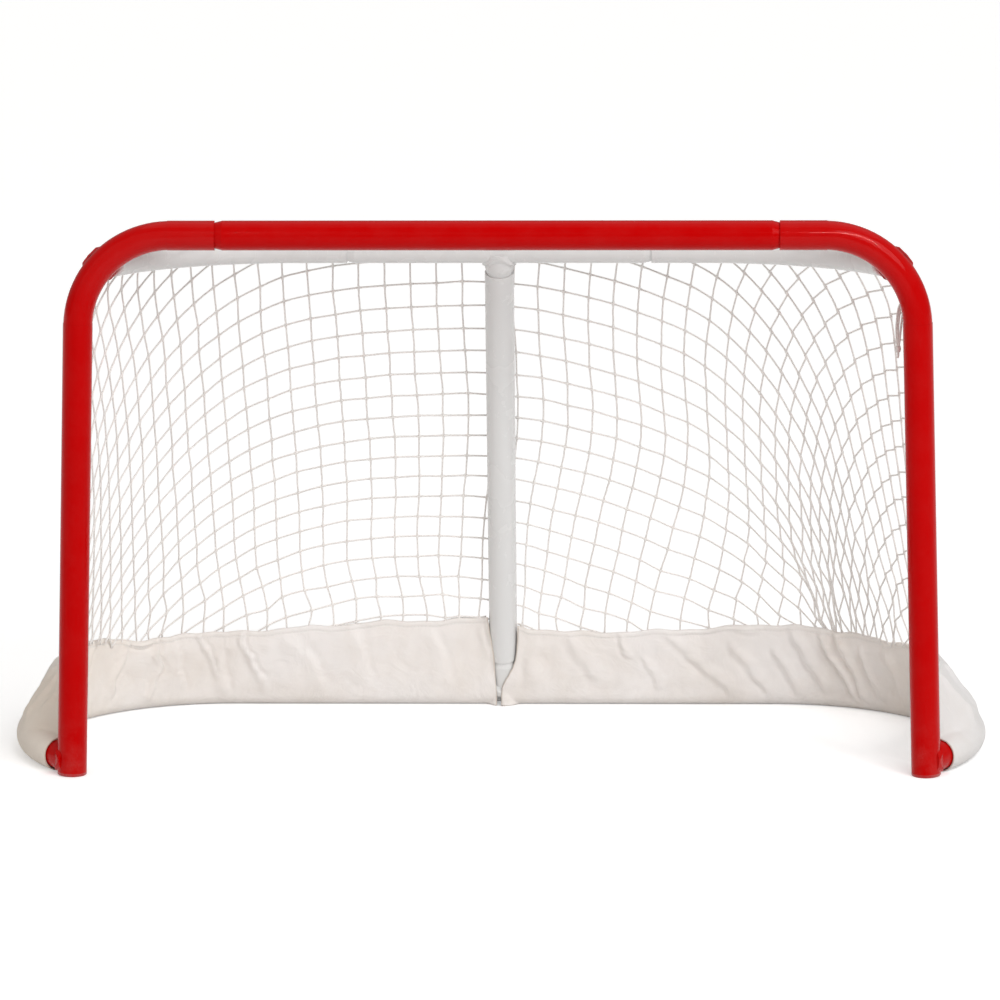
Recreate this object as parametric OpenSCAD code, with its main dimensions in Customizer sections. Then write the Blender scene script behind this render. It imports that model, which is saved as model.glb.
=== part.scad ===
// Knock-down mini hockey goal: tube frame, knotless net bag and canvas skirt.
// +X runs along the crossbar, the mouth faces -Y, +Z is up and the floor is z = 0.
// Everything is laid out from the middle of the mouth, then moved back so that the
// origin is the middle of the footprint.

/* [Tubing] */
// Outside diameter of every frame tube
tube_d = 26; // [22:0.5:30]
// Wall thickness of the frame tubes
wall_t = 1.5; // [1.0:0.1:2.2]
// Radial clearance of a necked tube end inside its socket
plug_gap = 0.2; // [0.1:0.05:0.4]
// Length of a necked tube end inside its socket
plug_len = 27; // [20:1:32]
// Length of the taper from a necked end to the full tube
neck_taper = 6.5; // [3:0.5:10]
// Size of the fillet weld beads
weld_size = 2.2; // [1.2:0.2:3.2]
// Thinning of the tube, on its radius, where the upper corners are bent
bend_draw = 0.3; // [0.2:0.05:0.6]

/* [Mouth] */
// Clear width between the posts, half way up
mouth_w = 711; // [560:1:900]
// Clear height under the crossbar
mouth_h = 465; // [400:1:620]
// Centreline radius of the two upper corners
corner_r = 81; // [60:1:110]
// Angle that each post leans outward towards the floor
post_splay = 1.75; // [0:0.25:4]
// Straight leg of a corner, from the bend to the crossbar joint
leg_len = 39; // [36:1:60]

/* [Top rail] */
// Depth of the top rail's axis behind the crossbar's axis
top_depth = 106; // [80:1:150]
// Drop of the top rail's axis below the crossbar's axis
top_drop = 25.5; // [16:0.5:36]
// Centreline radius of the top rail's corners
top_corner_r = 180; // [160:1:200]
// Outward shift of a top corner's weld from the centreline of the post's bend
top_root_out = 3; // [0:0.5:5]

/* [Base] */
// Depth of the base rail's axis behind the crossbar's axis
base_depth = 286; // [240:1:360]
// How far the base rail bows out beyond the foot of each post
base_bow = 46; // [36:1:60]

/* [Joints] */
// Straight socket at each end of the top rail's corners
rail_socket = 46; // [36:1:60]
// Length of the top rail's tee stub, from the rail's axis to the joint
top_stub_len = 24; // [24:1:40]
// Length of the base rail's tee stub, from the rail's axis to the joint
base_stub_len = 36; // [28:1:44]
// Shank diameter of the joint screws
screw_d = 4; // [3:0.5:5]
// Clearance of a screw in its hole, on the radius
screw_gap = 0.15; // [0.1:0.05:0.4]
// Distance from a socket's mouth to its screw
screw_inset = 13; // [9:1:16]

/* [Post caps] */
// Thickness of a cap below the end of its post
cap_t = 3; // [2:0.5:5]
// Height of a cap's spigot inside its post
cap_spigot = 14; // [8:1:20]
// Radial clearance of a cap's spigot in its post
cap_gap = 0.15; // [0.1:0.05:0.4]

/* [Net] */
// Width of a net twine
twine_w = 2; // [1.4:0.1:3]
// Mesh squares across the back panel
back_cols = 10; // [6:2:12]
// Mesh squares from the front to the back of each side panel
side_cols = 6; // [4:1:8]
// Mesh squares from the top rail down to the skirt
net_rows = 9; // [6:1:10]
// Mesh squares along the crossbar
top_cols = 16; // [10:2:20]
// Mesh squares from the crossbar to the top rail
top_rows = 2; // [1:1:3]
// Clearance between the net and the tubes that carry it
net_gap = 0.4; // [0.3:0.1:1]
// Depth of the slack in the back panel
net_slack = 9; // [0:1:16]

/* [Net clips] */
// Mesh squares from one clip to the next, on the posts
post_clip_step = 2; // [1:1:3]
// Mesh squares from one clip to the next, on the crossbar
bar_clip_step = 2; // [1:1:3]
// Width of a net clip along its tube
clip_w = 12; // [8:1:16]
// How far a clip's hook reaches behind its tube
clip_reach = 7; // [6:0.5:10]

/* [Skirt] */
// Height of the skirt's upper hem above the floor
skirt_h = 84; // [60:1:110]
// Lean of the skirt towards the inside of the goal
skirt_lean = 22; // [10:1:28]
// Thickness of the canvas with its seams
cloth_t = 1.2; // [0.9:0.1:2]
// Room between the canvas sleeve and the base rail
cloth_gap = 0.8; // [0.7:0.1:1.5]
// Gap between each skirt and the centre post's tee
skirt_split = 3; // [2.8:0.2:8]
// Distance from the post's axis to the open end of each sleeve
sleeve_end = 24; // [20:1:40]
// Depth of the skirt's main folds
fold_depth = 3.2; // [0:0.2:5]
// Distance between two main folds along the rail
fold_pitch = 62; // [40:1:100]

/* [Hidden] */
$fn = 96;
eps = 0.01;

red = [0.78, 0.02, 0.02];
white = [0.93, 0.93, 0.92];
canvas = [0.94, 0.93, 0.90];
steel = [0.72, 0.72, 0.74];

// Tubes and their necked ends
tube_r = tube_d / 2;
bore_r = tube_r - wall_t;
plug_r = bore_r - plug_gap;
seat_gap = 0.02;
screw_head_h = screw_d * 0.55;
foot_flat = 0.5;
rail_z = tube_r + cloth_gap + cloth_t - foot_flat;

// Front frame, in the plane y = 0
bar_z = mouth_h + tube_r;
mid_half_w = mouth_w / 2 + tube_r;
bend_z = bar_z - corner_r;
post_top_z = bend_z + corner_r * sin(post_splay);
bend_x = mid_half_w - (post_top_z - bar_z / 2) * tan(post_splay) - corner_r * cos(post_splay);
post_top_x = bend_x + corner_r * cos(post_splay);
bar_joint_x = bend_x - leg_len;
function post_x(z) = post_top_x + (post_top_z - z) * tan(post_splay);
post_len = (post_top_z - cap_t) / cos(post_splay);

// Top rail, in the plane z = top_z: straight, then an arc to the post's bend
top_z = bar_z - top_drop;
bend_x_at_top = bend_x + sqrt(corner_r * corner_r - pow(top_z - bend_z, 2));
top_root_x = bend_x_at_top + top_root_out;
top_arc_y = top_depth - top_corner_r;
top_arc_x = top_root_x - sqrt(top_corner_r * top_corner_r - top_arc_y * top_arc_y);
top_turn = acos(-top_arc_y / top_corner_r);
rail_joint_x = top_arc_x - rail_socket;

// Base rail, in the plane z = rail_z: straight, then an arc round to the post
base_root_x = post_x(rail_z);
base_corner_r = base_depth + base_bow - sqrt(2 * base_depth * base_bow);
base_arc_x = base_root_x + base_bow - base_corner_r;
base_arc_y = base_depth - base_corner_r;
base_turn = acos(-base_arc_y / base_corner_r);

// Centre post, from the top rail's axis to the base rail's axis
post_drop = top_z - rail_z;
post_back = base_depth - top_depth;
centre_len = norm([post_drop, post_back]);
centre_lean = atan2(post_back, post_drop);
post_tube_len = centre_len - top_stub_len - base_stub_len;

// Middle of the footprint, measured back from the crossbar's axis
front_y = -tube_r;
sleeve_r = tube_r + cloth_gap + cloth_t;
back_y = base_depth + sleeve_r;
origin_y = (front_y + back_y) / 2;
module placed() translate([0, -origin_y, 0]) children();

// ---------- tube shapes ----------

// Straight tube along +Z
module tube(len) {
    difference() {
        cylinder(h = len, r = tube_r);
        translate([0, 0, -1])
            cylinder(h = len + 2, r = bore_r);
    }
}

// Solid bend in the XY plane, round the origin, from the +X axis
module bend_core(radius, angle, r) {
    rotate_extrude(angle = angle)
        translate([radius, 0])
            circle(r = r);
}

// Necked tube end along +Z: taper first, then the plug
module neck() {
    rotate_extrude()
        polygon([
            [bore_r, 0], [tube_r, 0], [plug_r, neck_taper],
            [plug_r, neck_taper + plug_len - 1], [plug_r - 0.6, neck_taper + plug_len],
            [plug_r - wall_t, neck_taper + plug_len], [plug_r - wall_t, neck_taper]
        ]);
}

// Straight tube along X with a necked end each side, between two sockets
module necked_bar(half_span) {
    full = half_span - neck_taper;
    translate([-full, 0, 0])
        rotate([0, 90, 0])
            tube(2 * full);
    for (side = [0, 180])
        rotate([0, 0, side])
            translate([full, 0, 0])
                rotate([0, 90, 0])
                    neck();
}

// Hole for a screw that points along +Z from a tube's axis
module screw_hole() {
    cylinder(h = tube_r + 1, r = screw_d / 2 + screw_gap, $fn = 32);
}

// Pan head screw whose shank points to a tube's axis; +Z is outward
module screw() {
    head_h = screw_head_h;
    head_r = screw_d * 0.95;
    seat = tube_r + seat_gap;
    recess = screw_d * 0.22;
    difference() {
        union() {
            translate([0, 0, seat - 7])
                cylinder(h = 7, r = screw_d / 2, $fn = 32);
            rotate_extrude($fn = 48)
                intersection() {
                    translate([0, seat])
                        square([head_r, head_h]);
                    translate([0, seat + head_h - head_r * 1.3])
                        circle(r = head_r * 1.3, $fn = 64);
                }
        }
        for (turn = [0, 90])
            rotate([0, 0, turn])
                translate([-head_r * 0.55, -recess / 2, seat + head_h - 1.2])
                    cube([head_r * 1.1, recess, 2]);
    }
}

// ---------- front frame ----------

// Places a bend so that it turns from the crossbar's axis down to the right post
module at_bend() {
    translate([bend_x, 0, bend_z])
        rotate([90, 0, 0])
            mirror([1, -1, 0])
                children();
}

// Solid of a bent corner: its leg, its thinner bend and its post, which lap a little
module corner_solid(r, past) {
    turn = 90 - post_splay;
    lap = 2;
    bend_core(corner_r, turn, r - bend_draw);
    translate([corner_r, lap, 0])
        rotate([90, 0, 0])
            cylinder(h = leg_len + lap + past, r = r);
    rotate([0, 0, turn])
        translate([corner_r, -lap, 0])
            rotate([-90, 0, 0])
                cylinder(h = post_len + lap + past, r = r);
}

module right_post_shape() {
    difference() {
        at_bend()
            difference() {
                corner_solid(tube_r, 0);
                corner_solid(bore_r, 1);
            }
        translate([bar_joint_x + screw_inset, 0, bar_z])
            rotate([-90, 0, 0])
                screw_hole();
    }
}

module crossbar_shape() {
    translate([0, 0, bar_z])
        difference() {
            necked_bar(bar_joint_x);
            for (side = [-1, 1])
                translate([side * (bar_joint_x + screw_inset), 0, 0])
                    rotate([-90, 0, 0])
                        screw_hole();
        }
}

// ---------- rails ----------

// The top rail's screws point down and back, inside the net
top_screw_turn = -135;

// Places a rail's right corner so that its arc turns from the back to the front
module at_corner(x, y, z) {
    translate([x, y, z])
        mirror([1, -1, 0])
            children();
}

// Corner of a rail: a straight socket, then an arc
module corner_tube(radius, turn, socket) {
    rotate_extrude(angle = turn)
        translate([radius, 0])
            difference() {
                circle(r = tube_r);
                circle(r = bore_r);
            }
    translate([radius, 0, 0])
        rotate([90, 0, 0])
            tube(socket);
}

// The last part of that arc as a solid, over an angle of span
module corner_end(radius, turn, span, r) {
    rotate([0, 0, turn - span])
        bend_core(radius, span, r);
}

// Solids of the bend and of the post that the corners are welded to
module post_bend_solid(grow) {
    at_bend()
        bend_core(corner_r, 90, tube_r - bend_draw + grow);
}

module post_foot_solid(grow, past = 0) {
    translate([post_top_x, 0, post_top_z])
        rotate([0, 180 - post_splay, 0])
            cylinder(h = post_len + past, r = tube_r + grow);
}

// Keeps a top corner's weld on the back of the post's bend
module in_front_of_weld() {
    weld_front = 4;
    translate([top_root_x - 2 * tube_d, weld_front - 2 * tube_d, top_z - 2 * tube_d])
        cube([4 * tube_d, 2 * tube_d, 4 * tube_d]);
}

module right_top_corner_shape() {
    span = 18;
    turn = top_turn + 0.5;
    difference() {
        at_corner(top_arc_x, top_arc_y, top_z)
            corner_tube(top_corner_r, turn, top_arc_x - rail_joint_x);
        post_bend_solid(seat_gap);
        in_front_of_weld();
        translate([rail_joint_x + screw_inset, top_depth, top_z])
            rotate([top_screw_turn, 0, 0])
                screw_hole();
    }
    // Weld bead round the coped end
    difference() {
        intersection() {
            at_corner(top_arc_x, top_arc_y, top_z)
                corner_end(top_corner_r, turn, span, tube_r + weld_size);
            post_bend_solid(weld_size);
        }
        at_corner(top_arc_x, top_arc_y, top_z)
            corner_end(top_corner_r, turn + 5, span + 10, tube_r - 0.5);
        post_bend_solid(seat_gap);
        in_front_of_weld();
    }
}

module right_base_corner_shape() {
    span = 18;
    difference() {
        at_corner(base_arc_x, base_arc_y, rail_z)
            corner_tube(base_corner_r, base_turn, base_arc_x - rail_joint_x);
        post_foot_solid(seat_gap, tube_d);
        translate([rail_joint_x + screw_inset, base_depth, rail_z])
            screw_hole();
    }
    // Weld bead round the coped end
    difference() {
        intersection() {
            at_corner(base_arc_x, base_arc_y, rail_z)
                corner_end(base_corner_r, base_turn, span, tube_r + weld_size);
            post_foot_solid(weld_size);
        }
        at_corner(base_arc_x, base_arc_y, rail_z)
            corner_end(base_corner_r, base_turn + 5, span + 10, tube_r - 0.5);
        post_foot_solid(seat_gap);
    }
}

module top_rail_shape() {
    translate([0, top_depth, top_z])
        difference() {
            necked_bar(rail_joint_x);
            for (side = [-1, 1])
                translate([side * (rail_joint_x + screw_inset), 0, 0])
                    rotate([top_screw_turn, 0, 0])
                        screw_hole();
        }
}

module base_rail_shape() {
    translate([0, base_depth, rail_z])
        difference() {
            necked_bar(rail_joint_x);
            for (side = [-1, 1])
                translate([side * (rail_joint_x + screw_inset), 0, 0])
                    screw_hole();
        }
}

// ---------- centre post and its tees ----------

// Moves children from +Z to the centre post's axis, starting at the top rail
module along_centre() {
    translate([0, top_depth, top_z])
        rotate([180 + centre_lean, 0, 0])
            children();
}

// Tee stub along +Z from a rail that runs along X through the origin
module tee_stub(stub_len) {
    full = stub_len - neck_taper;
    difference() {
        union() {
            tube(full);
            intersection() {
                cylinder(h = full - 1, r = tube_r + weld_size);
                rotate([0, 90, 0])
                    cylinder(h = 4 * tube_d, r = tube_r + weld_size, center = true);
            }
        }
        rotate([0, 90, 0])
            cylinder(h = 5 * tube_d, r = tube_r + seat_gap, center = true);
        cylinder(h = stub_len, r = bore_r);
    }
    difference() {
        translate([0, 0, full])
            neck();
        translate([0, 0, stub_len + screw_inset])
            rotate([-90, 0, 0])
                screw_hole();
    }
}

module centre_post_shape() {
    along_centre()
        translate([0, 0, top_stub_len])
            difference() {
                tube(post_tube_len);
                for (z = [screw_inset, post_tube_len - screw_inset])
                    translate([0, 0, z])
                        rotate([90, 0, 0])
                            screw_hole();
            }
}

module top_tee_shape() {
    along_centre()
        mirror([0, 1, 0])
            tee_stub(top_stub_len);
}

module base_tee_shape() {
    along_centre()
        translate([0, 0, centre_len])
            rotate([180, 0, 0])
                tee_stub(base_stub_len);
}

// ---------- screws ----------

module crossbar_screws_shape() {
    for (side = [-1, 1])
        translate([side * (bar_joint_x + screw_inset), 0, bar_z])
            rotate([-90, 0, 0])
                screw();
}

module top_rail_screws_shape() {
    for (side = [-1, 1])
        translate([side * (rail_joint_x + screw_inset), top_depth, top_z])
            rotate([top_screw_turn, 0, 0])
                screw();
}

module base_rail_screws_shape() {
    for (side = [-1, 1])
        translate([side * (rail_joint_x + screw_inset), base_depth, rail_z])
            screw();
}

module centre_post_screws_shape() {
    along_centre()
        for (z = [screw_inset, post_tube_len - screw_inset])
            translate([0, 0, top_stub_len + z])
                rotate([90, 0, 0])
                    screw();
}

// ---------- post caps ----------

module right_post_cap_shape() {
    edge = 1.6;
    difference() {
        translate([post_top_x, 0, post_top_z])
            rotate([0, 180 - post_splay, 0])
                translate([0, 0, post_len])
                    rotate_extrude()
                        polygon(concat(
                            [[0, -cap_spigot], [bore_r - cap_gap - 1, -cap_spigot],
                             [bore_r - cap_gap, -cap_spigot + 1.5], [bore_r - cap_gap, 0],
                             [tube_r, 0]],
                            [for (a = [0:15:90])
                                [tube_r - edge + edge * cos(a), cap_t - edge + edge * sin(a)]],
                            [[0, cap_t]]
                        ));
        translate([post_x(0), 0, -tube_d])
            cube(2 * tube_d, center = true);
    }
}

// ---------- net ----------

function unit(v) = v / norm(v);
function mix(a, b, t) = a + (b - a) * t;

// A mesh of square twine over a grid of places P[i][j], as one closed surface.
// Each crossing has eight corners; a twine joins the facing sides of two crossings.
module twine_mesh(P, w) {
    nu = len(P);
    nv = len(P[0]);
    function du(i, j) = unit(P[min(i + 1, nu - 1)][j] - P[max(i - 1, 0)][j]);
    function dv(i, j) = unit(P[i][min(j + 1, nv - 1)] - P[i][max(j - 1, 0)]);
    function dn(i, j) = unit(cross(du(i, j), dv(i, j)));
    points = [for (i = [0:nu - 1], j = [0:nv - 1], sn = [-1, 1], sv = [-1, 1], su = [-1, 1])
        P[i][j] + w / 2 * (su * du(i, j) + sv * dv(i, j) + sn * dn(i, j))];
    function id(i, j, su, sv, sn) = 8 * (i * nv + j) + 4 * sn + 2 * sv + su;
    function quad(a, b, c, d) = [[a, b, c], [a, c, d]];
    // Caps on the faces of a crossing that no twine leaves from
    node_faces = [for (i = [0:nu - 1], j = [0:nv - 1]) each concat(
        quad(id(i, j, 0, 0, 1), id(i, j, 0, 1, 1), id(i, j, 1, 1, 1), id(i, j, 1, 0, 1)),
        quad(id(i, j, 0, 0, 0), id(i, j, 1, 0, 0), id(i, j, 1, 1, 0), id(i, j, 0, 1, 0)),
        i == 0 ? quad(id(i, j, 0, 0, 0), id(i, j, 0, 1, 0), id(i, j, 0, 1, 1), id(i, j, 0, 0, 1)) : [],
        i == nu - 1 ? quad(id(i, j, 1, 0, 0), id(i, j, 1, 0, 1), id(i, j, 1, 1, 1), id(i, j, 1, 1, 0)) : [],
        j == 0 ? quad(id(i, j, 0, 0, 0), id(i, j, 0, 0, 1), id(i, j, 1, 0, 1), id(i, j, 1, 0, 0)) : [],
        j == nv - 1 ? quad(id(i, j, 0, 1, 0), id(i, j, 1, 1, 0), id(i, j, 1, 1, 1), id(i, j, 0, 1, 1)) : []
    )];
    // Four walls of a twine between the facing sides of two crossings
    function walls(a, b) = [for (k = [0:3]) each
        quad(a[k], a[(k + 1) % 4], b[(k + 1) % 4], b[k])];
    u_faces = [for (i = [0:nu - 2], j = [0:nv - 1]) each walls(
        [id(i, j, 1, 0, 0), id(i, j, 1, 0, 1), id(i, j, 1, 1, 1), id(i, j, 1, 1, 0)],
        [id(i + 1, j, 0, 0, 0), id(i + 1, j, 0, 0, 1), id(i + 1, j, 0, 1, 1), id(i + 1, j, 0, 1, 0)]
    )];
    v_faces = [for (i = [0:nu - 1], j = [0:nv - 2]) each walls(
        [id(i, j, 0, 1, 0), id(i, j, 1, 1, 0), id(i, j, 1, 1, 1), id(i, j, 0, 1, 1)],
        [id(i, j + 1, 0, 0, 0), id(i, j + 1, 1, 0, 0), id(i, j + 1, 1, 0, 1), id(i, j + 1, 0, 0, 1)]
    )];
    polyhedron(points = points, faces = concat(node_faces, u_faces, v_faces), convexity = 10);
}

// Plan of a rail at length s from its middle, moved out from its axis by off
function rail_plan(s, arc_x, arc_y, radius, off) =
    s <= arc_x ? [s, arc_y + radius + off] :
    let (a = (s - arc_x) / radius * 180 / PI)
    [arc_x + (radius + off) * sin(a), arc_y + (radius + off) * cos(a)];

top_path = top_arc_x + top_corner_r * top_turn * PI / 180;
base_path = base_arc_x + base_corner_r * base_turn * PI / 180;

// The net's edge lies net_off from a rail's axis and seat_y behind the front frame
clip_t = 2.2;
clip_foot = 3.2;
net_off = tube_r + net_gap + twine_w / 2;
seat_y = tube_r + (clip_t + clip_reach) / 2;
seat_side = clip_t + twine_w / 2 + 0.3 - clip_foot;
hem_in = (skirt_h - rail_z) * tan(skirt_lean);
net_low_z = skirt_h + twine_w / 2 + 0.3;
row_pitch = (top_z - net_low_z) / net_rows;
back_share = 0.42;
side_first = 0.432;
side_end = 0.93;
// Chords of the corner's arc stay clear of the tube by this much more
chord_sag = pow((side_end - side_first) * top_path / side_cols, 2) / 8 / top_corner_r;

function top_edge(t, more = 0) =
    let (p = rail_plan(t * top_path, top_arc_x, top_arc_y, top_corner_r, net_off + more))
    [p[0], p[1], top_z];
function low_edge(t) =
    let (p = rail_plan(t * (base_path - sleeve_end), base_arc_x, base_arc_y,
                       base_corner_r, -hem_in))
    [p[0], p[1], net_low_z];

// Net between the top rail and the hem; t runs from the middle to the post
function bag(t, v, more = 0) =
    let (p = mix(top_edge(t, more), low_edge(t), v),
         belly = net_slack * sin(180 * v) * (1 - pow(t, 2)))
    p + [0, belly, 0];

// Axis of the right half of the front frame at height z
function frame_x(z) = z < post_top_z ? post_x(z) :
    bend_x + sqrt(corner_r * corner_r - pow(z - bend_z, 2));

// Front edge of a side panel, held by the clips on the post
function front_edge(v) =
    let (z = mix(top_z, net_low_z, v))
    v == 0 ? top_edge(side_end, chord_sag) : [frame_x(z) + seat_side, seat_y, z];

// The middle of the net passes behind the centre post
function behind_post(z) =
    top_depth + (top_z - z) * tan(centre_lean) + (tube_r + screw_head_h) / cos(centre_lean)
    + net_gap + twine_w;

module net_back_shape() {
    twine_mesh([for (i = [0:back_cols])
        let (t = (2 * i / back_cols - 1) * back_share)
        [for (j = [net_rows:-1:0])
            let (p = bag(abs(t), j / net_rows))
            [sign(t) * p[0], t == 0 ? behind_post(p[2]) : p[1], p[2]]]
    ], twine_w);
}

module net_right_shape() {
    twine_mesh([for (i = [0:side_cols])
        let (w = i / side_cols,
             t = mix(side_first, side_end, w))
        [for (j = [net_rows:-1:0])
            let (v = j / net_rows)
            bag(t, v, chord_sag) + w * w * (front_edge(v) - bag(side_end, v, chord_sag))]
    ], twine_w);
}

// Axis height of the crossbar and its bends at x
function frame_z(x) = abs(x) < bend_x ? bar_z :
    bend_z + sqrt(corner_r * corner_r - pow(abs(x) - bend_x, 2));

net_top_half = top_root_x - tube_d;
col_pitch = 2 * net_top_half / top_cols;

module net_top_shape() {
    twine_mesh([for (i = [0:top_cols])
        let (x = (i - top_cols / 2) * col_pitch,
             front = [x, seat_y, frame_z(x) + seat_side],
             back_y = rail_plan(abs(x), top_arc_x, top_arc_y, top_corner_r, 0)[1],
             back = [x, back_y, top_z + net_off])
        [for (j = [0:top_rows]) mix(front, back, j / top_rows)]
    ], twine_w);
}

// ---------- net clips ----------

// Clip that sits on a tube's back; the tube runs along X and +Y is behind it
module net_clip() {
    difference() {
        union() {
            translate([-clip_w / 2, 0, -clip_foot])
                cube([clip_w, tube_r + clip_t, 2 * clip_foot]);
            translate([-clip_w / 2, tube_r + clip_t - eps, -clip_foot])
                cube([clip_w, clip_reach, clip_t]);
            translate([-clip_w / 2, tube_r + clip_reach, -clip_foot])
                cube([clip_w, clip_t, 2 * clip_foot - clip_t]);
        }
        rotate([0, 90, 0])
            cylinder(h = 2 * clip_w, r = tube_r, center = true);
    }
}

// Clips stand in the middle of a mesh square, clear of the twines that cross the edge
module crossbar_net_clips_shape() {
    for (side = [-1, 1], x = [col_pitch / 2 : bar_clip_step * col_pitch : bar_joint_x - clip_w])
        translate([side * x, 0, bar_z])
            net_clip();
}

module right_net_clips_shape() {
    low = net_low_z + row_pitch / 2;
    for (z = [low : post_clip_step * row_pitch : bend_z - clip_w])
        translate([post_x(z), 0, z])
            rotate([0, 90 - post_splay, 0])
                net_clip();
}

// ---------- skirt ----------

// Section of the canvas sleeve in (inward, up), as a loop round the base rail:
// up the outside, over the hem and down the inside, at radius r from the rail
function sleeve_loop(r, apex, half, push, arc_n = 8) =
    let (top = [hem_in - (skirt_h - apex) * tan(skirt_lean), apex],
         axis = [0, rail_z],
         reach = norm(top - axis),
         tilt = atan2(top[1] - axis[1], top[0] - axis[0]),
         open = acos(r / reach),
         step = (360 - 2 * open) / arc_n,
         rc = r / cos(step / 2),
         start = tilt + open,
         arc = [for (k = [0:arc_n - 1])
             let (a = start + (k + 0.5) * step)
             [axis[0] + rc * cos(a), max(0, axis[1] + rc * sin(a))]])
    concat(
        [mix([top[0] - half, top[1]], arc[0], 1 / 3) + [-push, 0],
         mix([top[0] - half, top[1]], arc[0], 2 / 3) + [-push, 0]],
        arc,
        [mix([top[0] + half, top[1]], arc[arc_n - 1], 2 / 3) + [push * 0.6, 0],
         mix([top[0] + half, top[1]], arc[arc_n - 1], 1 / 3) + [push * 0.6, 0],
         [top[0] + half, top[1]],
         [top[0] - half, top[1]]]
    );

// Frame of the base rail at length s: plan point and inward direction
function rail_at(s) = rail_plan(s, base_arc_x, base_arc_y, base_corner_r, 0);
function rail_in(s) =
    unit(rail_plan(s, base_arc_x, base_arc_y, base_corner_r, -1) - rail_at(s));

sleeve_marks = concat(
    [for (i = [0:11]) mix(tube_r + skirt_split, base_arc_x, i / 12)],
    [for (i = [0:16]) mix(base_arc_x, base_path - sleeve_end, i / 16)]
);

module skirt_right_shape() {
    hem = 7;
    rings = [for (s = sleeve_marks)
        let (p = rail_at(s),
             n = rail_in(s),
             wave = sin(360 * s / fold_pitch),
             push = fold_depth * (wave > 0 ? wave * wave : 0),
             outer = sleeve_loop(sleeve_r, skirt_h, cloth_t, push),
             inner = sleeve_loop(sleeve_r - cloth_t, skirt_h - hem, 0.2, push))
        [for (q = concat(outer, [for (q = inner) [q[0], max(q[1], foot_flat + 0.2)]]))
            [p[0] + n[0] * q[0], p[1] + n[1] * q[0], q[1]]]];
    count = len(rings[0]) / 2;
    last = len(rings) - 1;
    points = [for (ring = rings) each ring];
    function at(i, k, layer) = i * 2 * count + layer * count + (k + count) % count;
    outside = [for (i = [0:last - 1], k = [0:count - 1]) each
        [[at(i, k, 0), at(i, k + 1, 0), at(i + 1, k + 1, 0)],
         [at(i, k, 0), at(i + 1, k + 1, 0), at(i + 1, k, 0)]]];
    inside = [for (i = [0:last - 1], k = [0:count - 1]) each
        [[at(i, k, 1), at(i + 1, k + 1, 1), at(i, k + 1, 1)],
         [at(i, k, 1), at(i + 1, k, 1), at(i + 1, k + 1, 1)]]];
    ends = [for (k = [0:count - 1]) each
        [[at(0, k, 0), at(0, k, 1), at(0, k + 1, 1)],
         [at(0, k, 0), at(0, k + 1, 1), at(0, k + 1, 0)],
         [at(last, k, 0), at(last, k + 1, 1), at(last, k, 1)],
         [at(last, k, 0), at(last, k + 1, 0), at(last, k + 1, 1)]]];
    polyhedron(points = points, faces = concat(outside, inside, ends), convexity = 10);
}

// ---------- the pieces ----------

module right_post() color(red) placed() right_post_shape();
module left_post() color(red) placed() mirror([1, 0, 0]) right_post_shape();
module crossbar() color(red) placed() crossbar_shape();
module right_top_corner() color(white) placed() right_top_corner_shape();
module left_top_corner() color(white) placed() mirror([1, 0, 0]) right_top_corner_shape();
module top_rail() color(white) placed() top_rail_shape();
module top_tee() color(white) placed() top_tee_shape();
module centre_post() color(white) placed() centre_post_shape();
module base_tee() color(white) placed() base_tee_shape();
module base_rail() color(white) placed() base_rail_shape();
module right_base_corner() color(red) placed() right_base_corner_shape();
module left_base_corner() color(red) placed() mirror([1, 0, 0]) right_base_corner_shape();
module right_post_cap() color(red) placed() right_post_cap_shape();
module left_post_cap() color(red) placed() mirror([1, 0, 0]) right_post_cap_shape();
module crossbar_screws() color(steel) placed() crossbar_screws_shape();
module top_rail_screws() color(steel) placed() top_rail_screws_shape();
module centre_post_screws() color(steel) placed() centre_post_screws_shape();
module base_rail_screws() color(steel) placed() base_rail_screws_shape();
module right_net_clips() color(red) placed() right_net_clips_shape();
module left_net_clips() color(red) placed() mirror([1, 0, 0]) right_net_clips_shape();
module crossbar_net_clips() color(red) placed() crossbar_net_clips_shape();
module net_back() color(white) placed() net_back_shape();
module net_right() color(white) placed() net_right_shape();
module net_left() color(white) placed() mirror([1, 0, 0]) net_right_shape();
module net_top() color(white) placed() net_top_shape();
module skirt_right() color(canvas) placed() skirt_right_shape();
module skirt_left() color(canvas) placed() mirror([1, 0, 0]) skirt_right_shape();

left_post();
right_post();
crossbar();
left_top_corner();
right_top_corner();
top_rail();
top_tee();
centre_post();
base_tee();
base_rail();
left_base_corner();
right_base_corner();
left_post_cap();
right_post_cap();
crossbar_screws();
top_rail_screws();
centre_post_screws();
base_rail_screws();
left_net_clips();
right_net_clips();
crossbar_net_clips();
net_back();
net_left();
net_right();
net_top();
skirt_left();
skirt_right();
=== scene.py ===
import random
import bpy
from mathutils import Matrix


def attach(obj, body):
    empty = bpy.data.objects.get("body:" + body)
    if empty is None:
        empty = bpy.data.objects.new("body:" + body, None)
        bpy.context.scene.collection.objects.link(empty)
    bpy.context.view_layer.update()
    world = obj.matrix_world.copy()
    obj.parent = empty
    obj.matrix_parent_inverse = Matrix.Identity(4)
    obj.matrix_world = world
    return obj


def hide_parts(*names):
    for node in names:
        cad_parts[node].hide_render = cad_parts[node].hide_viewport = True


bl_info = {
    "name": "Street Hockey Goal",
    "version": (1, 0, 0),
    "blender": (4, 5, 0),
    "location": "View3D > Sidebar > Goal",
    "description": "Paints the goal's frame and hangs its knotless net and canvas skirt",
    "category": "Object",
}

from math import acos, atan2, cos, exp, hypot, pi, radians, sin, sqrt, tan

import bmesh
import bpy
import numpy as np
from mathutils import Matrix, Vector, noise

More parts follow.
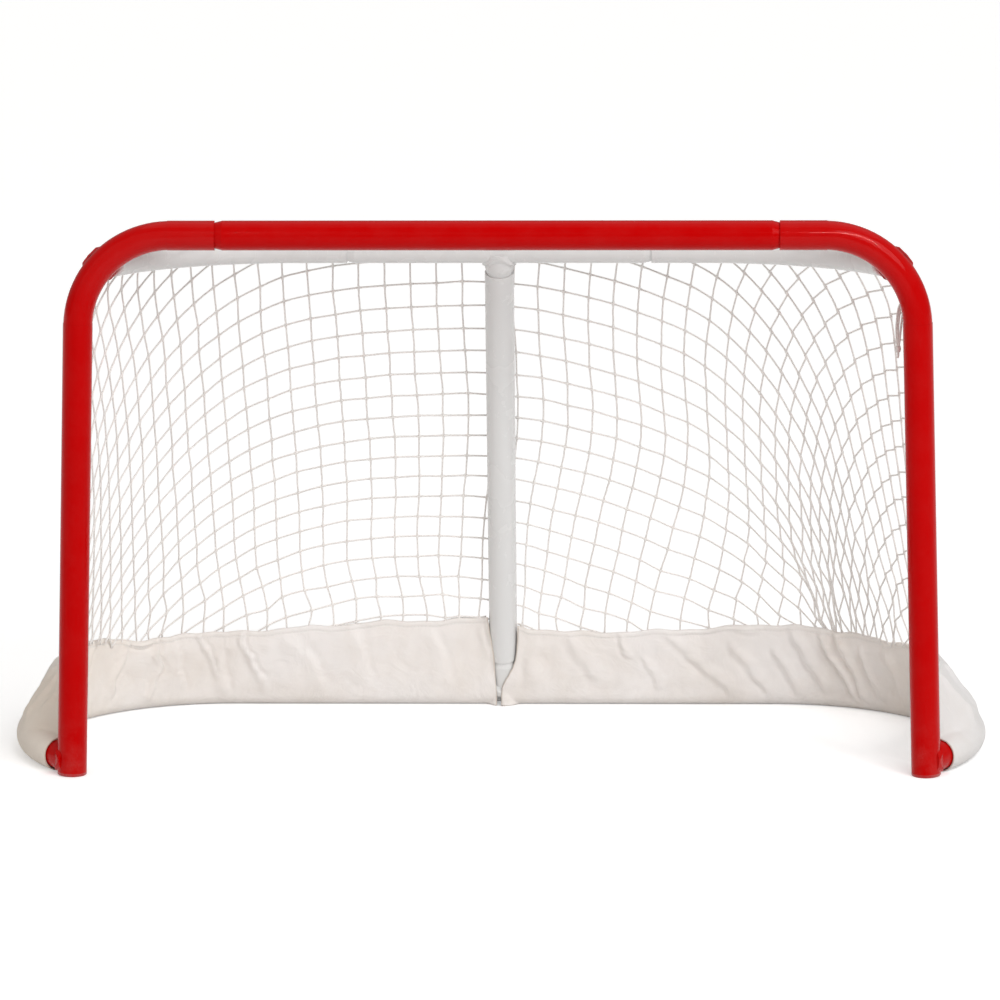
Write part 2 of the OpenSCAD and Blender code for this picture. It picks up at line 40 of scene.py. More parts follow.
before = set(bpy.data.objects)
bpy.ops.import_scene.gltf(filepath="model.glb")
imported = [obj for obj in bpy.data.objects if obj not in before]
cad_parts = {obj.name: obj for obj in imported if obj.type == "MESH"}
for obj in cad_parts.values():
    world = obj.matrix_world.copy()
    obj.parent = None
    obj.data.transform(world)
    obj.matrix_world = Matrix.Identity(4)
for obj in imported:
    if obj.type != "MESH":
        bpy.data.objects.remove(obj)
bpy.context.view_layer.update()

# ---------- the frame's own sizes, in millimetres ----------

MOUTH_W = 711.0
TUBE_R = 13.0
# The mouth's plane lies this far in front of the goal's origin
ORIGIN_Y = 144.0

# The posts, each with one bend into the crossbar
CORNER_R = 81.0
SPLAY = radians(1.75)
BAR_Z = 478.0
BEND_Z = BAR_Z - CORNER_R
POST_TOP_Z = BEND_Z + CORNER_R * sin(SPLAY)
POST_TOP_X = MOUTH_W / 2 + TUBE_R - (POST_TOP_Z - BAR_Z / 2) * tan(SPLAY)
BEND_X = POST_TOP_X - CORNER_R * cos(SPLAY)

# The top rail's axis, straight and then one arc round to the post's bend
TOP_DROP = 25.5
TOP_DEPTH = 106.0
TOP_R = 180.0
TOP_ROOT_OUT = 3.0
TOP_Z = BAR_Z - TOP_DROP
TOP_ROOT_X = BEND_X + sqrt(CORNER_R**2 - (TOP_Z - BEND_Z) ** 2) + TOP_ROOT_OUT
TOP_ARC_Y = TOP_DEPTH - TOP_R
TOP_ARC_X = TOP_ROOT_X - sqrt(TOP_R**2 - TOP_ARC_Y**2)
TOP_PATH = TOP_ARC_X + TOP_R * acos(-TOP_ARC_Y / TOP_R)

# The base rail's axis, straight and then one arc that bows out past the foot of the post
RAIL_Z = 14.5
BASE_DEPTH = 286.0
BASE_BOW = 46.0
BASE_ROOT_X = POST_TOP_X + (POST_TOP_Z - RAIL_Z) * tan(SPLAY)
BASE_R = BASE_DEPTH + BASE_BOW - sqrt(2 * BASE_DEPTH * BASE_BOW)
BASE_ARC_X = BASE_ROOT_X + BASE_BOW - BASE_R
BASE_ARC_Y = BASE_DEPTH - BASE_R
BASE_PATH = BASE_ARC_X + BASE_R * acos(-BASE_ARC_Y / BASE_R)

# The skirt's hem, and how far the net's sleeve and the cloth stop short of the base rail's end
HEM_Z = 84.0
HEM_LEAN = radians(22)
HEM_IN = (HEM_Z - RAIL_Z) * tan(HEM_LEAN)
SLEEVE_END = 24.0
CLOTH_END = 21.0

# The net lies on the rails and the backs of the posts. Its sides begin at SIDE_FIRST of the way round
NET_LOW = HEM_Z + 1.3
NET_OFF = TUBE_R + 1.4
SEAT_Y = TUBE_R + 4.6
SEAT_OUT = 0.3
SIDE_FIRST = 0.432
SIDE_END = 0.93
BACK_SLACK = 9.0
ROOF_SAG = 5.0


def smooth(x):
    """Eases from 0 to 1 as x does."""
    x = min(1.0, max(0.0, x))
    return x * x * (3 - 2 * x)


def blend(a, b, t):
    return a + (b - a) * t


def placed(p):
    """A point of the mouth's own frame, in millimetres, as metres in the goal's frame."""
    return Vector((p[0], p[1] - ORIGIN_Y, p[2])) * 0.001


def plan(s, arc_x, arc_y, radius, off):
    """Plan point of a bent rail at length s from its centre, moved outwards by off."""
    if s <= arc_x:
        return np.array([s, arc_y + radius + off])
    a = (s - arc_x) / radius
    return np.array([arc_x + (radius + off) * sin(a), arc_y + (radius + off) * cos(a)])


def top_edge(t):
    """The net's line along the back of the top rail."""
    return np.append(plan(t * TOP_PATH, TOP_ARC_X, TOP_ARC_Y, TOP_R, NET_OFF), TOP_Z)


def low_edge(t):
    """The net's line along the skirt's hem."""
    s = t * (BASE_PATH - SLEEVE_END)
    return np.append(plan(s, BASE_ARC_X, BASE_ARC_Y, BASE_R, -HEM_IN), NET_LOW)


def frame_x(z):
    """Axis of a post at height z, then of its bend."""
    if z < POST_TOP_Z:
        return POST_TOP_X + (POST_TOP_Z - z) * tan(SPLAY)
    return BEND_X + sqrt(max(0.0, CORNER_R**2 - (z - BEND_Z) ** 2))


def front_edge(v):
    """The net's line down the back of a post."""
    z = blend(TOP_Z, NET_LOW, v)
    return np.array([frame_x(z) + SEAT_OUT, SEAT_Y, z])


def slack(t, v):
    """The net between its top and low edges, slack in the middle of the back."""
    p = blend(top_edge(t), low_edge(t), v)
    p[1] += BACK_SLACK * sin(pi * v) * (1 - t * t)
    return p


def bag(t, v, side):
    """The bag of the net: t goes from the centre round to a post, v from the top rail to the hem."""
    p = slack(t, v)
    if t > SIDE_FIRST:
        w = (t - SIDE_FIRST) / (SIDE_END - SIDE_FIRST)
        p = p + w * w * (front_edge(v) - slack(SIDE_END, v))
    return np.array([p[0] * side, p[1], p[2]])


# ---------- sizes and colours a user may change ----------


def colour(name, about, value):
    return bpy.props.FloatVectorProperty(
        name=name, description=about, default=value, size=3, min=0, max=1, subtype="COLOR")


def length(name, about, value):
    return bpy.props.FloatProperty(
        name=name, description=about, default=value, min=0, unit="LENGTH", precision=4)


class GOAL_PG_paint(bpy.types.PropertyGroup):
    red: colour("Red Enamel", "Gloss enamel of the posts and the crossbar", (0.50, 0.0002, 0.0004))
    white: colour("White Enamel", "Gloss enamel of the rails and the centre post", (0.76, 0.765, 0.76))
    plug: colour("Plug Plastic", "Moulded plugs in the posts' feet", (0.40, 0.002, 0.003))
    clip: colour("Clip Plastic", "Moulded hooks that hold the net", (0.42, 0.004, 0.005))


class GOAL_PG_net(bpy.types.PropertyGroup):
    pitch: length("Mesh Size", "Length of one side of a mesh", 0.0232)
    twine: length("Twine Diameter", "Diameter of the knotless twine", 0.0017)
    border: length("Border Cord", "Diameter of the cord along the net's front edge", 0.0024)
    tint: colour("Twine", "Colour of the twine", (0.96, 0.93, 0.90))


class GOAL_PG_skirt(bpy.types.PropertyGroup):
    thickness: length("Canvas Thickness", "Thickness of one layer of canvas", 0.0011)
    hem: length("Hem", "Depth of the stitched hem", 0.0048)
    tint: colour("Canvas", "Colour of the canvas", (0.91, 0.88, 0.86))


class GOAL_PG_stage(bpy.types.PropertyGroup):
    floor: colour("Floor", "Colour of the floor", (0.86, 0.86, 0.86))
    distance: length("Camera Distance", "From the camera to the mouth", 4.355)
    elevation: bpy.props.FloatProperty(
        name="Elevation", description="How far the camera looks down", default=radians(10.5),
        subtype="ANGLE")


# ---------- shader node helpers ----------


def feed(target, **values):
    """Links sockets to the inputs of a node, or sets them to plain values."""
    for key, value in values.items():
        connect(target.inputs[key.replace("_", " ")], value)


def connect(socket, value):
    if isinstance(value, bpy.types.NodeSocket):
        socket.id_data.links.new(value, socket)
    else:
        socket.default_value = (*value[:3], 1) if socket.type == "RGBA" else value


def source(near, kind, **props):
    """A node in the tree of another node or socket."""
    new = near.id_data.nodes.new("ShaderNode" + kind)
    for key, value in props.items():
        setattr(new, key, value)
    return new


def node(kind, inputs, **props):
    """A node in the tree of the sockets among its inputs."""
    near = next(value for value in inputs.values() if isinstance(value, bpy.types.NodeSocket))
    new = source(near, kind, **props)
    for key, value in inputs.items():
        connect(new.inputs[key], value)
    return new


def math_node(kind, a, b=0.5, clamp=False):
    return node("Math", {0: a, 1: b}, operation=kind, use_clamp=clamp).outputs[0]


def times(a, b, clamp=False):
    return math_node("MULTIPLY", a, b, clamp)


def plus(a, b, clamp=False):
    return math_node("ADD", a, b, clamp)


def minus(a, b):
    return math_node("SUBTRACT", a, b)


def scaled(value, by, start):
    """start + by * value"""
    return node("Math", {0: value, 1: by, 2: start}, operation="MULTIPLY_ADD").outputs[0]


def cloud(at, scale, detail, rough=0.5, out="Fac", **more):
    """Value of a noise texture, or its colour."""
    inputs = {"Vector": at, "Scale": scale, "Detail": detail, "Roughness": rough, **more}
    return node("TexNoise", inputs).outputs[out]


def span(value, low, high, start=0.0, end=1.0):
    """Goes from start to end while value goes from low to high."""
    inputs = {"Value": value, "From Min": low, "From Max": high, "To Min": start, "To Max": end}
    return node("MapRange", inputs).outputs[0]


def ramp(value, first, last, start=0.0, end=1.0):
    """Goes from the grey start to the grey end while value goes from first to last."""
    new = node("ValToRGB", {"Fac": value})
    for spot, place, grey in zip(new.color_ramp.elements, (first, last), (start, end)):
        spot.position = place
        spot.color = (grey, grey, grey, 1)
    return new.outputs["Color"]


def mix_colour(factor, a, b, kind="MIX"):
    return node("Mix", {0: factor, 6: a, 7: b}, data_type="RGBA", blend_type=kind).outputs[2]


def faded(tint, share):
    return tuple(c * share for c in tint)


def make_group(name, build, labels):
    tree = bpy.data.node_groups.new(name, "ShaderNodeTree")
    for label in labels:
        kind = "Vector" if label == "Vector" else "Float"
        tree.interface.new_socket(label, in_out="INPUT", socket_type="NodeSocket" + kind)
    results = build(tree.nodes.new("NodeGroupInput").outputs)
    for label in results:
        tree.interface.new_socket(label, in_out="OUTPUT", socket_type="NodeSocketFloat")
    feed(tree.nodes.new("NodeGroupOutput"), **results)
    return tree


def use_group(name, build, **inputs):
    """Adds the node group of that name, which is built at its first use."""
    group = bpy.data.node_groups.get(name) or make_group(name, build, inputs)
    new = source(inputs["Vector"], "Group", node_tree=group)
    feed(new, **inputs)
    return new.outputs


def enamel_nodes(given):
    """Sprayed enamel: orange peel, handling marks and a little tone."""
    at = node("VectorMath", {0: given["Vector"], 1: given["Seed"]}, operation="ADD").outputs[0]
    peel = cloud(at, 420.0, 2.0, 0.55)
    run = cloud(at, 26.0, 3.0)
    broad = cloud(at, 7.0, 2.0)
    stretch = node("Mapping", {"Vector": at, "Scale": (1.0, 1.0, 0.12)}).outputs[0]
    lines = cloud(stretch, 260.0, 5.0, 0.7)
    marks = times(ramp(lines, 0.60, 0.68), given["Marks"])
    shade = scaled(minus(broad, 0.5), given["Tone"], 1.0)
    shade = minus(shade, times(marks, 0.05))
    height = plus(times(peel, 0.5), times(run, 0.9))
    height = minus(height, times(marks, 0.25))
    dull = plus(times(run, 0.10), times(marks, 0.18))
    return {"Shade": shade, "Height": height, "Dull": dull}


def dust_nodes(given):
    """Fine pale dust and grime, thicker low down and in patches."""
    z = node("SeparateXYZ", {0: given["Vector"]}).outputs[2]
    low = span(z, given["High"], 0.0)
    patch = ramp(cloud(given["Vector"], 38.0, 6.0, 0.65), 0.42, 0.72)
    grain = cloud(given["Vector"], 900.0, 2.0)
    both = times(times(patch, grain), plus(low, 0.15))
    return {"Mask": times(both, given["Amount"], clamp=True)}


def dusted(at, high, amount):
    """Mask of the dust, which is thickest on the floor and thins out up to a height."""
    return use_group("Dust And Grime", dust_nodes, Vector=at, High=high, Amount=amount)["Mask"]


def weave_nodes(given):
    """Plain weave on a UV map in metres: threads over and under, with slubs."""
    turns = math_node("DIVIDE", pi, given["Thread"])
    wobble = cloud(given["Vector"], 160.0, 2.0, out="Color")
    wobble = node("VectorMath", {0: wobble, "Scale": 0.0006}, operation="SCALE").outputs[0]
    at = node("VectorMath", {0: given["Vector"], 1: wobble}, operation="ADD").outputs[0]
    xyz = node("SeparateXYZ", {0: at}).outputs
    warp = math_node("SINE", times(xyz[0], turns))
    weft = math_node("SINE", times(xyz[1], turns))
    over = times(times(warp, weft), 0.35)
    warp = math_node("ABSOLUTE", warp)
    weft = math_node("ABSOLUTE", weft)
    height = plus(over, math_node("MAXIMUM", warp, weft))
    return {"Height": height, "Gap": math_node("MINIMUM", warp, weft)}


# ---------- materials ----------

DUST_TINT = (0.42, 0.40, 0.37)
# Paint sprayed over a weld covers all as far as the first distance, and ends at the second, in metres
SPRAY_FULL, SPRAY_GONE = 0.016, 0.024
# The coat's polish comes in between these two heights, in metres
POLISH_LOW, POLISH_HIGH = 0.41, 0.452
THREAD = 0.00075
STITCH = 0.0034
TWINE_LAY = 0.0042


def material(name):
    """A new material, its shader and the place of a point on it."""
    new = bpy.data.materials.new(name)
    new.use_nodes = True
    shader = next(n for n in new.node_tree.nodes if n.type == "BSDF_PRINCIPLED")
    return new, shader, source(shader, "TexCoord").outputs["Object"]


def bump(shader, height, strength, distance):
    relief = node("Bump", {"Height": height, "Strength": strength, "Distance": distance})
    feed(shader, Normal=relief.outputs[0])


def enamel(name, tint, seed, gloss, marks=0.3, tone=0.08, dust=0.12, spec=0.5, spec_tint=(1, 1, 1), coat=0.0,
           weld=None):
    """Gloss enamel on steel tube. weld is the place of a weld and the colour of the paint sprayed over it."""
    new, shader, at = material(name)
    skin = use_group("Sprayed Enamel", enamel_nodes, Vector=at, Tone=tone, Marks=marks, Seed=seed)
    dirt = dusted(at, 0.06, dust)
    shade = node("CombineColor", {channel: skin["Shade"] for channel in range(3)}).outputs[0]
    base = mix_colour(1.0, tint, shade, "MULTIPLY")
    if weld:
        place, paint = weld
        gap = node("VectorMath", {0: at, 1: place}, operation="DISTANCE").outputs["Value"]
        speck = minus(cloud(at, 300.0, 4.0, 0.7), 0.5)
        gap = plus(gap, times(speck, 0.012))
        base = mix_colour(span(gap, SPRAY_GONE, SPRAY_FULL), base, paint)
    rough = plus(skin["Dull"], gloss - 0.05)
    feed(shader, Base_Color=mix_colour(dirt, base, DUST_TINT),
         Roughness=plus(rough, times(dirt, 0.5), clamp=True),
         Specular_IOR_Level=spec, Specular_Tint=spec_tint)
    if coat:
        # Polished round the bends, scuffed dull lower down
        z = node("SeparateXYZ", {0: at}).outputs[2]
        polish = span(z, POLISH_LOW, POLISH_HIGH, 0.05, coat)
        feed(shader, Coat_Weight=polish, Coat_Roughness=0.06)
    bump(shader, skin["Height"], 0.12, 0.00035)
    return new


def moulded(name, tint, gloss):
    """Moulded plastic with a fine spark-eroded grain."""
    new, shader, at = material(name)
    grain = cloud(at, 1900.0, 3.0, 0.6)
    broad = times(cloud(at, 60.0, 3.0), 0.3)
    dirt = dusted(at, 0.05, 0.5)
    base = mix_colour(broad, tint, tuple(min(1, c * 1.35 + 0.004) for c in tint))
    feed(shader, Base_Color=mix_colour(dirt, base, (0.33, 0.31, 0.29)),
         Roughness=scaled(grain, 0.18, gloss - 0.1), Specular_IOR_Level=0.45)
    bump(shader, grain, 0.25, 0.0002)
    return new


def zinc_plate():
    """Bright zinc on the screws, with a faint crystal mottle and dull tops."""
    new, shader, at = material("zinc_plated_screw")
    cell = node("TexVoronoi", {"Vector": at, "Scale": 900.0}).outputs["Color"]
    dull = cloud(at, 240.0, 4.0)
    tone = mix_colour(0.14, (0.62, 0.63, 0.64), cell)
    tone = mix_colour(ramp(dull, 0.50, 0.72), tone, (0.40, 0.39, 0.36))
    feed(shader, Base_Color=tone, Roughness=scaled(dull, 0.35, 0.16), Metallic=1.0)
    bump(shader, dull, 0.3, 0.0002)
    return new


def twine_finish(name, tint):
    """Braided nylon twine: strands run slantwise round it, with a soft sheen.
    The UV map is metres along, turns round."""
    new, shader, at = material(name)
    xyz = node("SeparateXYZ", {0: source(shader, "TexCoord").outputs["UV"]}).outputs
    along = times(xyz[0], 2 * pi / TWINE_LAY)
    turn = times(xyz[1], 4 * pi)
    one = math_node("SINE", plus(along, turn))
    two = math_node("SINE", minus(along, turn))
    strands = math_node("MAXIMUM", one, two)
    soil = cloud(at, 34.0, 4.0)
    base = mix_colour(ramp(soil, 0.35, 0.75), tint, faded(tint, 0.9))
    shade = ramp(scaled(strands, 0.5, 0.5), 0.1, 0.8, 0.88)
    feed(shader, Base_Color=mix_colour(1.0, base, shade, "MULTIPLY"),
         Roughness=scaled(soil, 0.2, 0.55), Sheen_Weight=0.3, Specular_IOR_Level=0.35)
    bump(shader, strands, 0.5, 0.0002)
    return new


def canvas_finish(name, tint, hem):
    """Coated cotton canvas: plain weave, crease marks, light soil and a row of stitches under the hem, with
    painted shade and a painted shadow in places.
    The UV map is metres along the rail and metres down from the hem."""
    new, shader, at = material(name)
    uv = source(shader, "TexCoord").outputs["UV"]
    xyz = node("SeparateXYZ", {0: uv}).outputs
    weave = use_group("Plain Weave", weave_nodes, Vector=uv, Thread=THREAD)
    soil = cloud(at, 11.0, 5.0, 0.6)
    fibre = cloud(uv, 700.0, 3.0)
    crease = cloud(uv, 30.0, 4.0, 0.55, Distortion=1.4)
    # A row of running stitch below the hem
    down = math_node("ABSOLUTE", minus(xyz[1], hem))
    row = math_node("LESS_THAN", down, 0.00045)
    dash = math_node("FRACT", math_node("DIVIDE", xyz[0], STITCH))
    stitch = times(row, math_node("LESS_THAN", dash, 0.72))
    groove = ramp(math_node("DIVIDE", down, 0.004), 0.0, 0.35, 1.0, 0.0)
    # Painted warm shade darkens the ends beside the posts, and painted grey shade darkens the outside of the
    # right one
    across = node("SeparateXYZ", {0: at}).outputs[0]
    warm_shade = plus(math_node("ABSOLUTE", xyz[0]), times(soil, 0.12))
    warm_shade = times(ramp(warm_shade, 0.36, 0.62), ramp(across, 0.372, 0.39, 1.0, 0.0))
    outer_right_shade = ramp(across, 0.372, 0.39)
    soiled = tuple(c * share for c, share in zip(tint, (0.93, 0.90, 0.86)))
    layers = (
        (ramp(soil, 0.40, 0.80), soiled, "MIX"),
        (warm_shade, (0.96, 0.91, 0.83), "MULTIPLY"),
        (outer_right_shade, (0.87, 0.885, 0.90), "MULTIPLY"),
        # Painted shade between the threads of the weave
        (times(minus(1.0, weave["Gap"]), 0.07), faded(tint, 0.7), "MIX"),
        (times(fibre, 0.05), (0.95, 0.93, 0.90), "MIX"),
        # Painted shade in the groove under the hem
        (times(groove, 0.10), faded(tint, 0.62), "MIX"),
        (times(stitch, 0.55), (0.90, 0.88, 0.85), "MIX"),
        (dusted(at, 0.05, 0.35), (0.50, 0.46, 0.41), "MIX"))
    base = tint
    for factor, over, kind in layers:
        base = mix_colour(factor, base, over, kind)
    # Darkens the cloth's cut edges: frayed canvas, with a painted shadow along the flaps beside the centre
    # post
    fray_and_shadow = source(shader, "Attribute", attribute_name="fray_and_shadow_edge").outputs["Fac"]
    fray_and_shadow = times(ramp(fray_and_shadow, 0.35, 0.95), 0.4)
    feed(shader, Base_Color=mix_colour(fray_and_shadow, base, (0.44, 0.33, 0.22)),
         Roughness=scaled(fibre, 0.15, 0.72), Sheen_Weight=0.12, Specular_IOR_Level=0.25)
    height = plus(times(weave["Height"], 0.10), times(crease, 3.2))
    height = minus(height, times(groove, 0.7))
    height = plus(height, times(stitch, 0.5))
    bump(shader, height, 0.55, 0.001)
    return new


# ---------- geometry helpers ----------


def add_object(name, data):
    new = bpy.data.objects.new(name, data)
    bpy.context.scene.collection.objects.link(new)
    return new


def mesh_object(name, bm, finish):
    mesh = bpy.data.meshes.new(name)
    bm.to_mesh(mesh)
    bm.free()
    mesh.materials.append(finish)
    return add_object(name, mesh)


def finish_piece(name, bm, finish):
    """A smooth piece that rides on the goal's one body."""
    piece = mesh_object(name, bm, finish)
    for face in piece.data.polygons:
        face.use_smooth = True
    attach(piece, "root")
    return piece


def sweep(bm, points, radii, sides=6):
    """Sweeps a ring along a line of points in metres. The UV map is metres along and turns round."""
    uv = bm.loops.layers.uv.verify()
    points = np.asarray(points, float)
    axes = np.gradient(points, axis=0)
    axes = axes / np.maximum(np.linalg.norm(axes, axis=1), 1e-9)[:, None]
    metres = np.append(0.0, np.cumsum(np.linalg.norm(np.diff(points, axis=0), axis=1)))
    turns = [2 * pi * spot / sides for spot in range(sides)]
    up = np.array([0.0, 0.0, 1.0]) if abs(axes[0][2]) < 0.9 else np.array([0.0, 1.0, 0.0])
    rings = []
    for p, axis, radius in zip(points, axes, np.broadcast_to(radii, len(points))):
        across = np.cross(axis, up)
        across /= max(np.linalg.norm(across), 1e-9)
        up = np.cross(across, axis)
        rings.append([bm.verts.new(p + radius * (across * cos(a) + up * sin(a))) for a in turns])
    for k in range(len(rings) - 1):
        for spot in range(sides):
            corners = ((k, spot), (k + 1, spot), (k + 1, spot + 1), (k, spot + 1))
            face = bm.faces.new([rings[ring][turn % sides] for ring, turn in corners])
            for loop, (ring, turn) in zip(face.loops, corners):
                loop[uv].uv = (metres[ring], turn / sides)
    bm.faces.new(rings[0])
    bm.faces.new(rings[-1][::-1])


def catmull(points, steps):
    """Smooth line through points."""
    p = [np.asarray(q, float) for q in points]
    p = [2 * p[0] - p[1]] + p + [2 * p[-1] - p[-2]]
    out = []
    for k in range(1, len(p) - 2):
        a, b, c, d = p[k - 1:k + 3]
        square = 2 * a - 5 * b + 4 * c - d
        cube = 3 * b - a - 3 * c + d
        for t in (step / steps for step in range(steps)):
            out.append(0.5 * (2 * b + (c - a) * t + square * t * t + cube * t**3))
    out.append(p[-2])
    return np.array(out)


# ---------- the net's lattice ----------

# Courses of the cloth, step by step from its centre: headings in degrees, 0 to the right and 90 down, then
# steps in millimetres. The last of each goes on
ROWS_RIGHT = ((4, 8, 13, 15, 17, 21, 23, 26, 33, 41, 46, 50, 54, 58, 60, 64, 68, 71, 72),
              (22.6, 22.8, 23, 23.2, 23.3, 23.3, 23.4, 23.4, 23.3, 23.4, 23.8, 24, 24.2))
ROWS_LEFT = ((180, 178, 177, 176, 175, 172, 168, 164, 159, 155, 151, 148, 145, 143, 141, 140, 139, 138, 137,
              134, 132, 130, 129, 128, 127),
             (22.8, 23, 23, 23, 23, 23, 23, 22.9, 22.6, 22.2, 21.8, 21.4, 21.1, 20.9, 20.7, 20.6))
DOWN_LEFT = ((88, 88, 88, 88, 88, 88, 88, 88, 89, 90, 91, 92, 93, 94),
             (24, 23.3, 22.8, 22.5, 22.1, 21.7, 21.3, 21))
DOWN_RIGHT = ((91, 89, 87, 86, 88, 92, 97, 101, 102, 101, 99, 96, 93, 91),
              (24.2, 24.2, 24, 23.5, 22.8, 22.2, 21.8, 22, 22.8, 23.2, 23, 22.4, 22))
UP_LEFT = ((-90, -93, -93, -93, -92, -92, -91, -90), (25, 25.6, 25.2, 24.2, 23.4, 23))
UP_RIGHT = ((-86, -84, -80, -75, -70, -64, -57, -50, -44, -40), (23.8, 23, 22.6, 22.2, 21.8, 21.6))
# The mesh that the tables are for, and their start on the laid-out cloth
TABLE_PITCH = 23.2
CENTRE_X, CENTRE_Y = -11.0, 36.5
# How many meshes the lattice has from its centre to each side, down and up
SIDE_COUNT, DOWN_COUNT, UP_COUNT = 38, 26, 13
# Past this column each one is drawn further towards the right post, fully at so many rows below this row
DRAWN_COLUMN, DRAWN_ROW, DRAWN_ROWS = 8, 4, 9
DRAWN = np.array([7.6, -4.6])
# Play of a mesh corner, and how far the hem draws the cloth in from each side
PLAY = 0.45
DRAWN_LEFT, DRAWN_RIGHT = 13, 9
# The laid-out cloth is cut into strips, and has a spare part of its height above and below
STRIPS = 150
SPARE = 0.06
# The twines are laid with so many steps to a mesh and so many sides, and are thicker where they cross
TWINE_STEPS = 6
TWINE_SIDES = 5
CROSSING = 1.45


def far(a, b):
    return float(np.linalg.norm(a - b))


def third_corner(a, b, from_a, from_b):
    """Corner of a flat triangle on the left of a to b, from its other two sides."""
    span = np.linalg.norm(b - a)
    e = (b - a) / span
    x = (from_a * from_a - from_b * from_b + span * span) / (2 * span)
    return a + e * x + np.array([e[1], -e[0]]) * sqrt(max(0.0, from_a * from_a - x * x))


def unrolled():
    """The right half of the bag laid flat: its marks and the flat points of its top and low edges."""
    marks = np.linspace(0, SIDE_END, STRIPS + 1)
    top = [bag(t, 0.0, 1) for t in marks]
    low = [bag(t, 1.0, 1) for t in marks]
    flat_top = [np.zeros(2)]
    flat_low = [np.array([0.0, far(top[0], low[0])])]
    for k in range(STRIPS):
        a, b = top[k + 1], low[k + 1]
        flat_top.append(third_corner(flat_top[-1], flat_low[-1], far(top[k], a), far(low[k], a)))
        flat_low.append(third_corner(flat_top[-1], flat_low[-1], far(a, b), far(low[k], b)))
    return marks, np.array(flat_top), np.array(flat_low)


class FlatBag:
    """Finds where a point of the laid-out cloth comes to lie on the bag."""

    def __init__(self):
        self.marks, top, low = unrolled()
        fall = low - top
        self.top, self.low = top - fall * SPARE, low + fall * SPARE

    def find(self, points):
        """The place (t, v) of each point on the bag, or NaN where it lies off the cloth."""
        spots = np.stack([np.abs(points[:, 0]), points[:, 1]], 1)
        out = np.full((len(spots), 2), np.nan)
        high, low = -SPARE, 1 + SPARE
        # Each strip is two triangles: their corners, which of the strip's two marks each has, and its v
        halves = ((self.top[:-1], self.top[1:], self.low[:-1], (0, 1, 0), (high, high, low)),
                  (self.top[1:], self.low[1:], self.low[:-1], (1, 1, 0), (high, low, low)))
        for a, b, c, which, depth in halves:
            e, f = b - a, c - a
            area = e[:, 0] * f[:, 1] - f[:, 0] * e[:, 1]
            r = spots[:, None, :] - a[None]
            u = (r[..., 0] * f[:, 1] - f[:, 0] * r[..., 1]) / area
            w = (e[:, 0] * r[..., 1] - r[..., 0] * e[:, 1]) / area
            i, k = np.nonzero((u >= -1e-7) & (w >= -1e-7) & (u + w <= 1 + 1e-7))
            shares = (1 - u[i, k] - w[i, k], u[i, k], w[i, k])
            out[i, 0] = sum(share * self.marks[k + mark] for share, mark in zip(shares, which))
            out[i, 1] = sum(share * v for share, v in zip(shares, depth))
        return out


def course(start, table, count, size):
    """Points of one course."""
    headings, steps = table
    out = [np.array(start, float)]
    for n in range(count):
        a = radians(headings[min(n, len(headings) - 1)])
        step = steps[min(n, len(steps) - 1)] * size
        out.append(out[-1] + step * np.array([cos(a), sin(a)]))
    return out


def numbered(ahead, behind):
    """Points of two courses from one start, numbered upwards along the one and downwards along the other."""
    return {**dict(enumerate(ahead)), **{-n: p for n, p in enumerate(behind) if n}}


def lattice(pitch):
    """Corners of the meshes on the laid-out cloth."""
    size = pitch / TABLE_PITCH
    centre = (CENTRE_X, CENTRE_Y)
    right_row, left_row = (course(centre, row, SIDE_COUNT, size) for row in (ROWS_RIGHT, ROWS_LEFT))
    spine = numbered(right_row, left_row)
    left, right = (numbered(course((0, 0), down, DOWN_COUNT, size), course((0, 0), up, UP_COUNT, size))
                   for down, up in ((DOWN_LEFT, UP_LEFT), (DOWN_RIGHT, UP_RIGHT)))
    out = {}
    for k, p in spine.items():
        for m in right:
            drawn = max(0, k - DRAWN_COLUMN) * smooth((m - DRAWN_ROW) / DRAWN_ROWS) * size
            out[k, m] = p + blend(left[m], right[m], smooth((k + 6) / 12)) + drawn * DRAWN
    return out


def settle(p, rng):
    """Play of one mesh corner: looser near the hem and near the right post."""
    x, y = p
    loose = 0.7 + 2.0 * smooth((y - 300) / 90) + 2.2 * smooth((x - 190) / 110) * smooth((y - 150) / 200)
    p = p + np.array([rng.gauss(0, PLAY), rng.gauss(0, PLAY)]) * loose
    x, y = p
    pull = smooth((y - 310) / 90)
    p[0] += DRAWN_LEFT * pull * smooth((-30 - x) / 60) * smooth((x + 330) / 90)
    p[0] -= DRAWN_RIGHT * pull * smooth((x - 10) / 50) * smooth((330 - x) / 90)
    return p


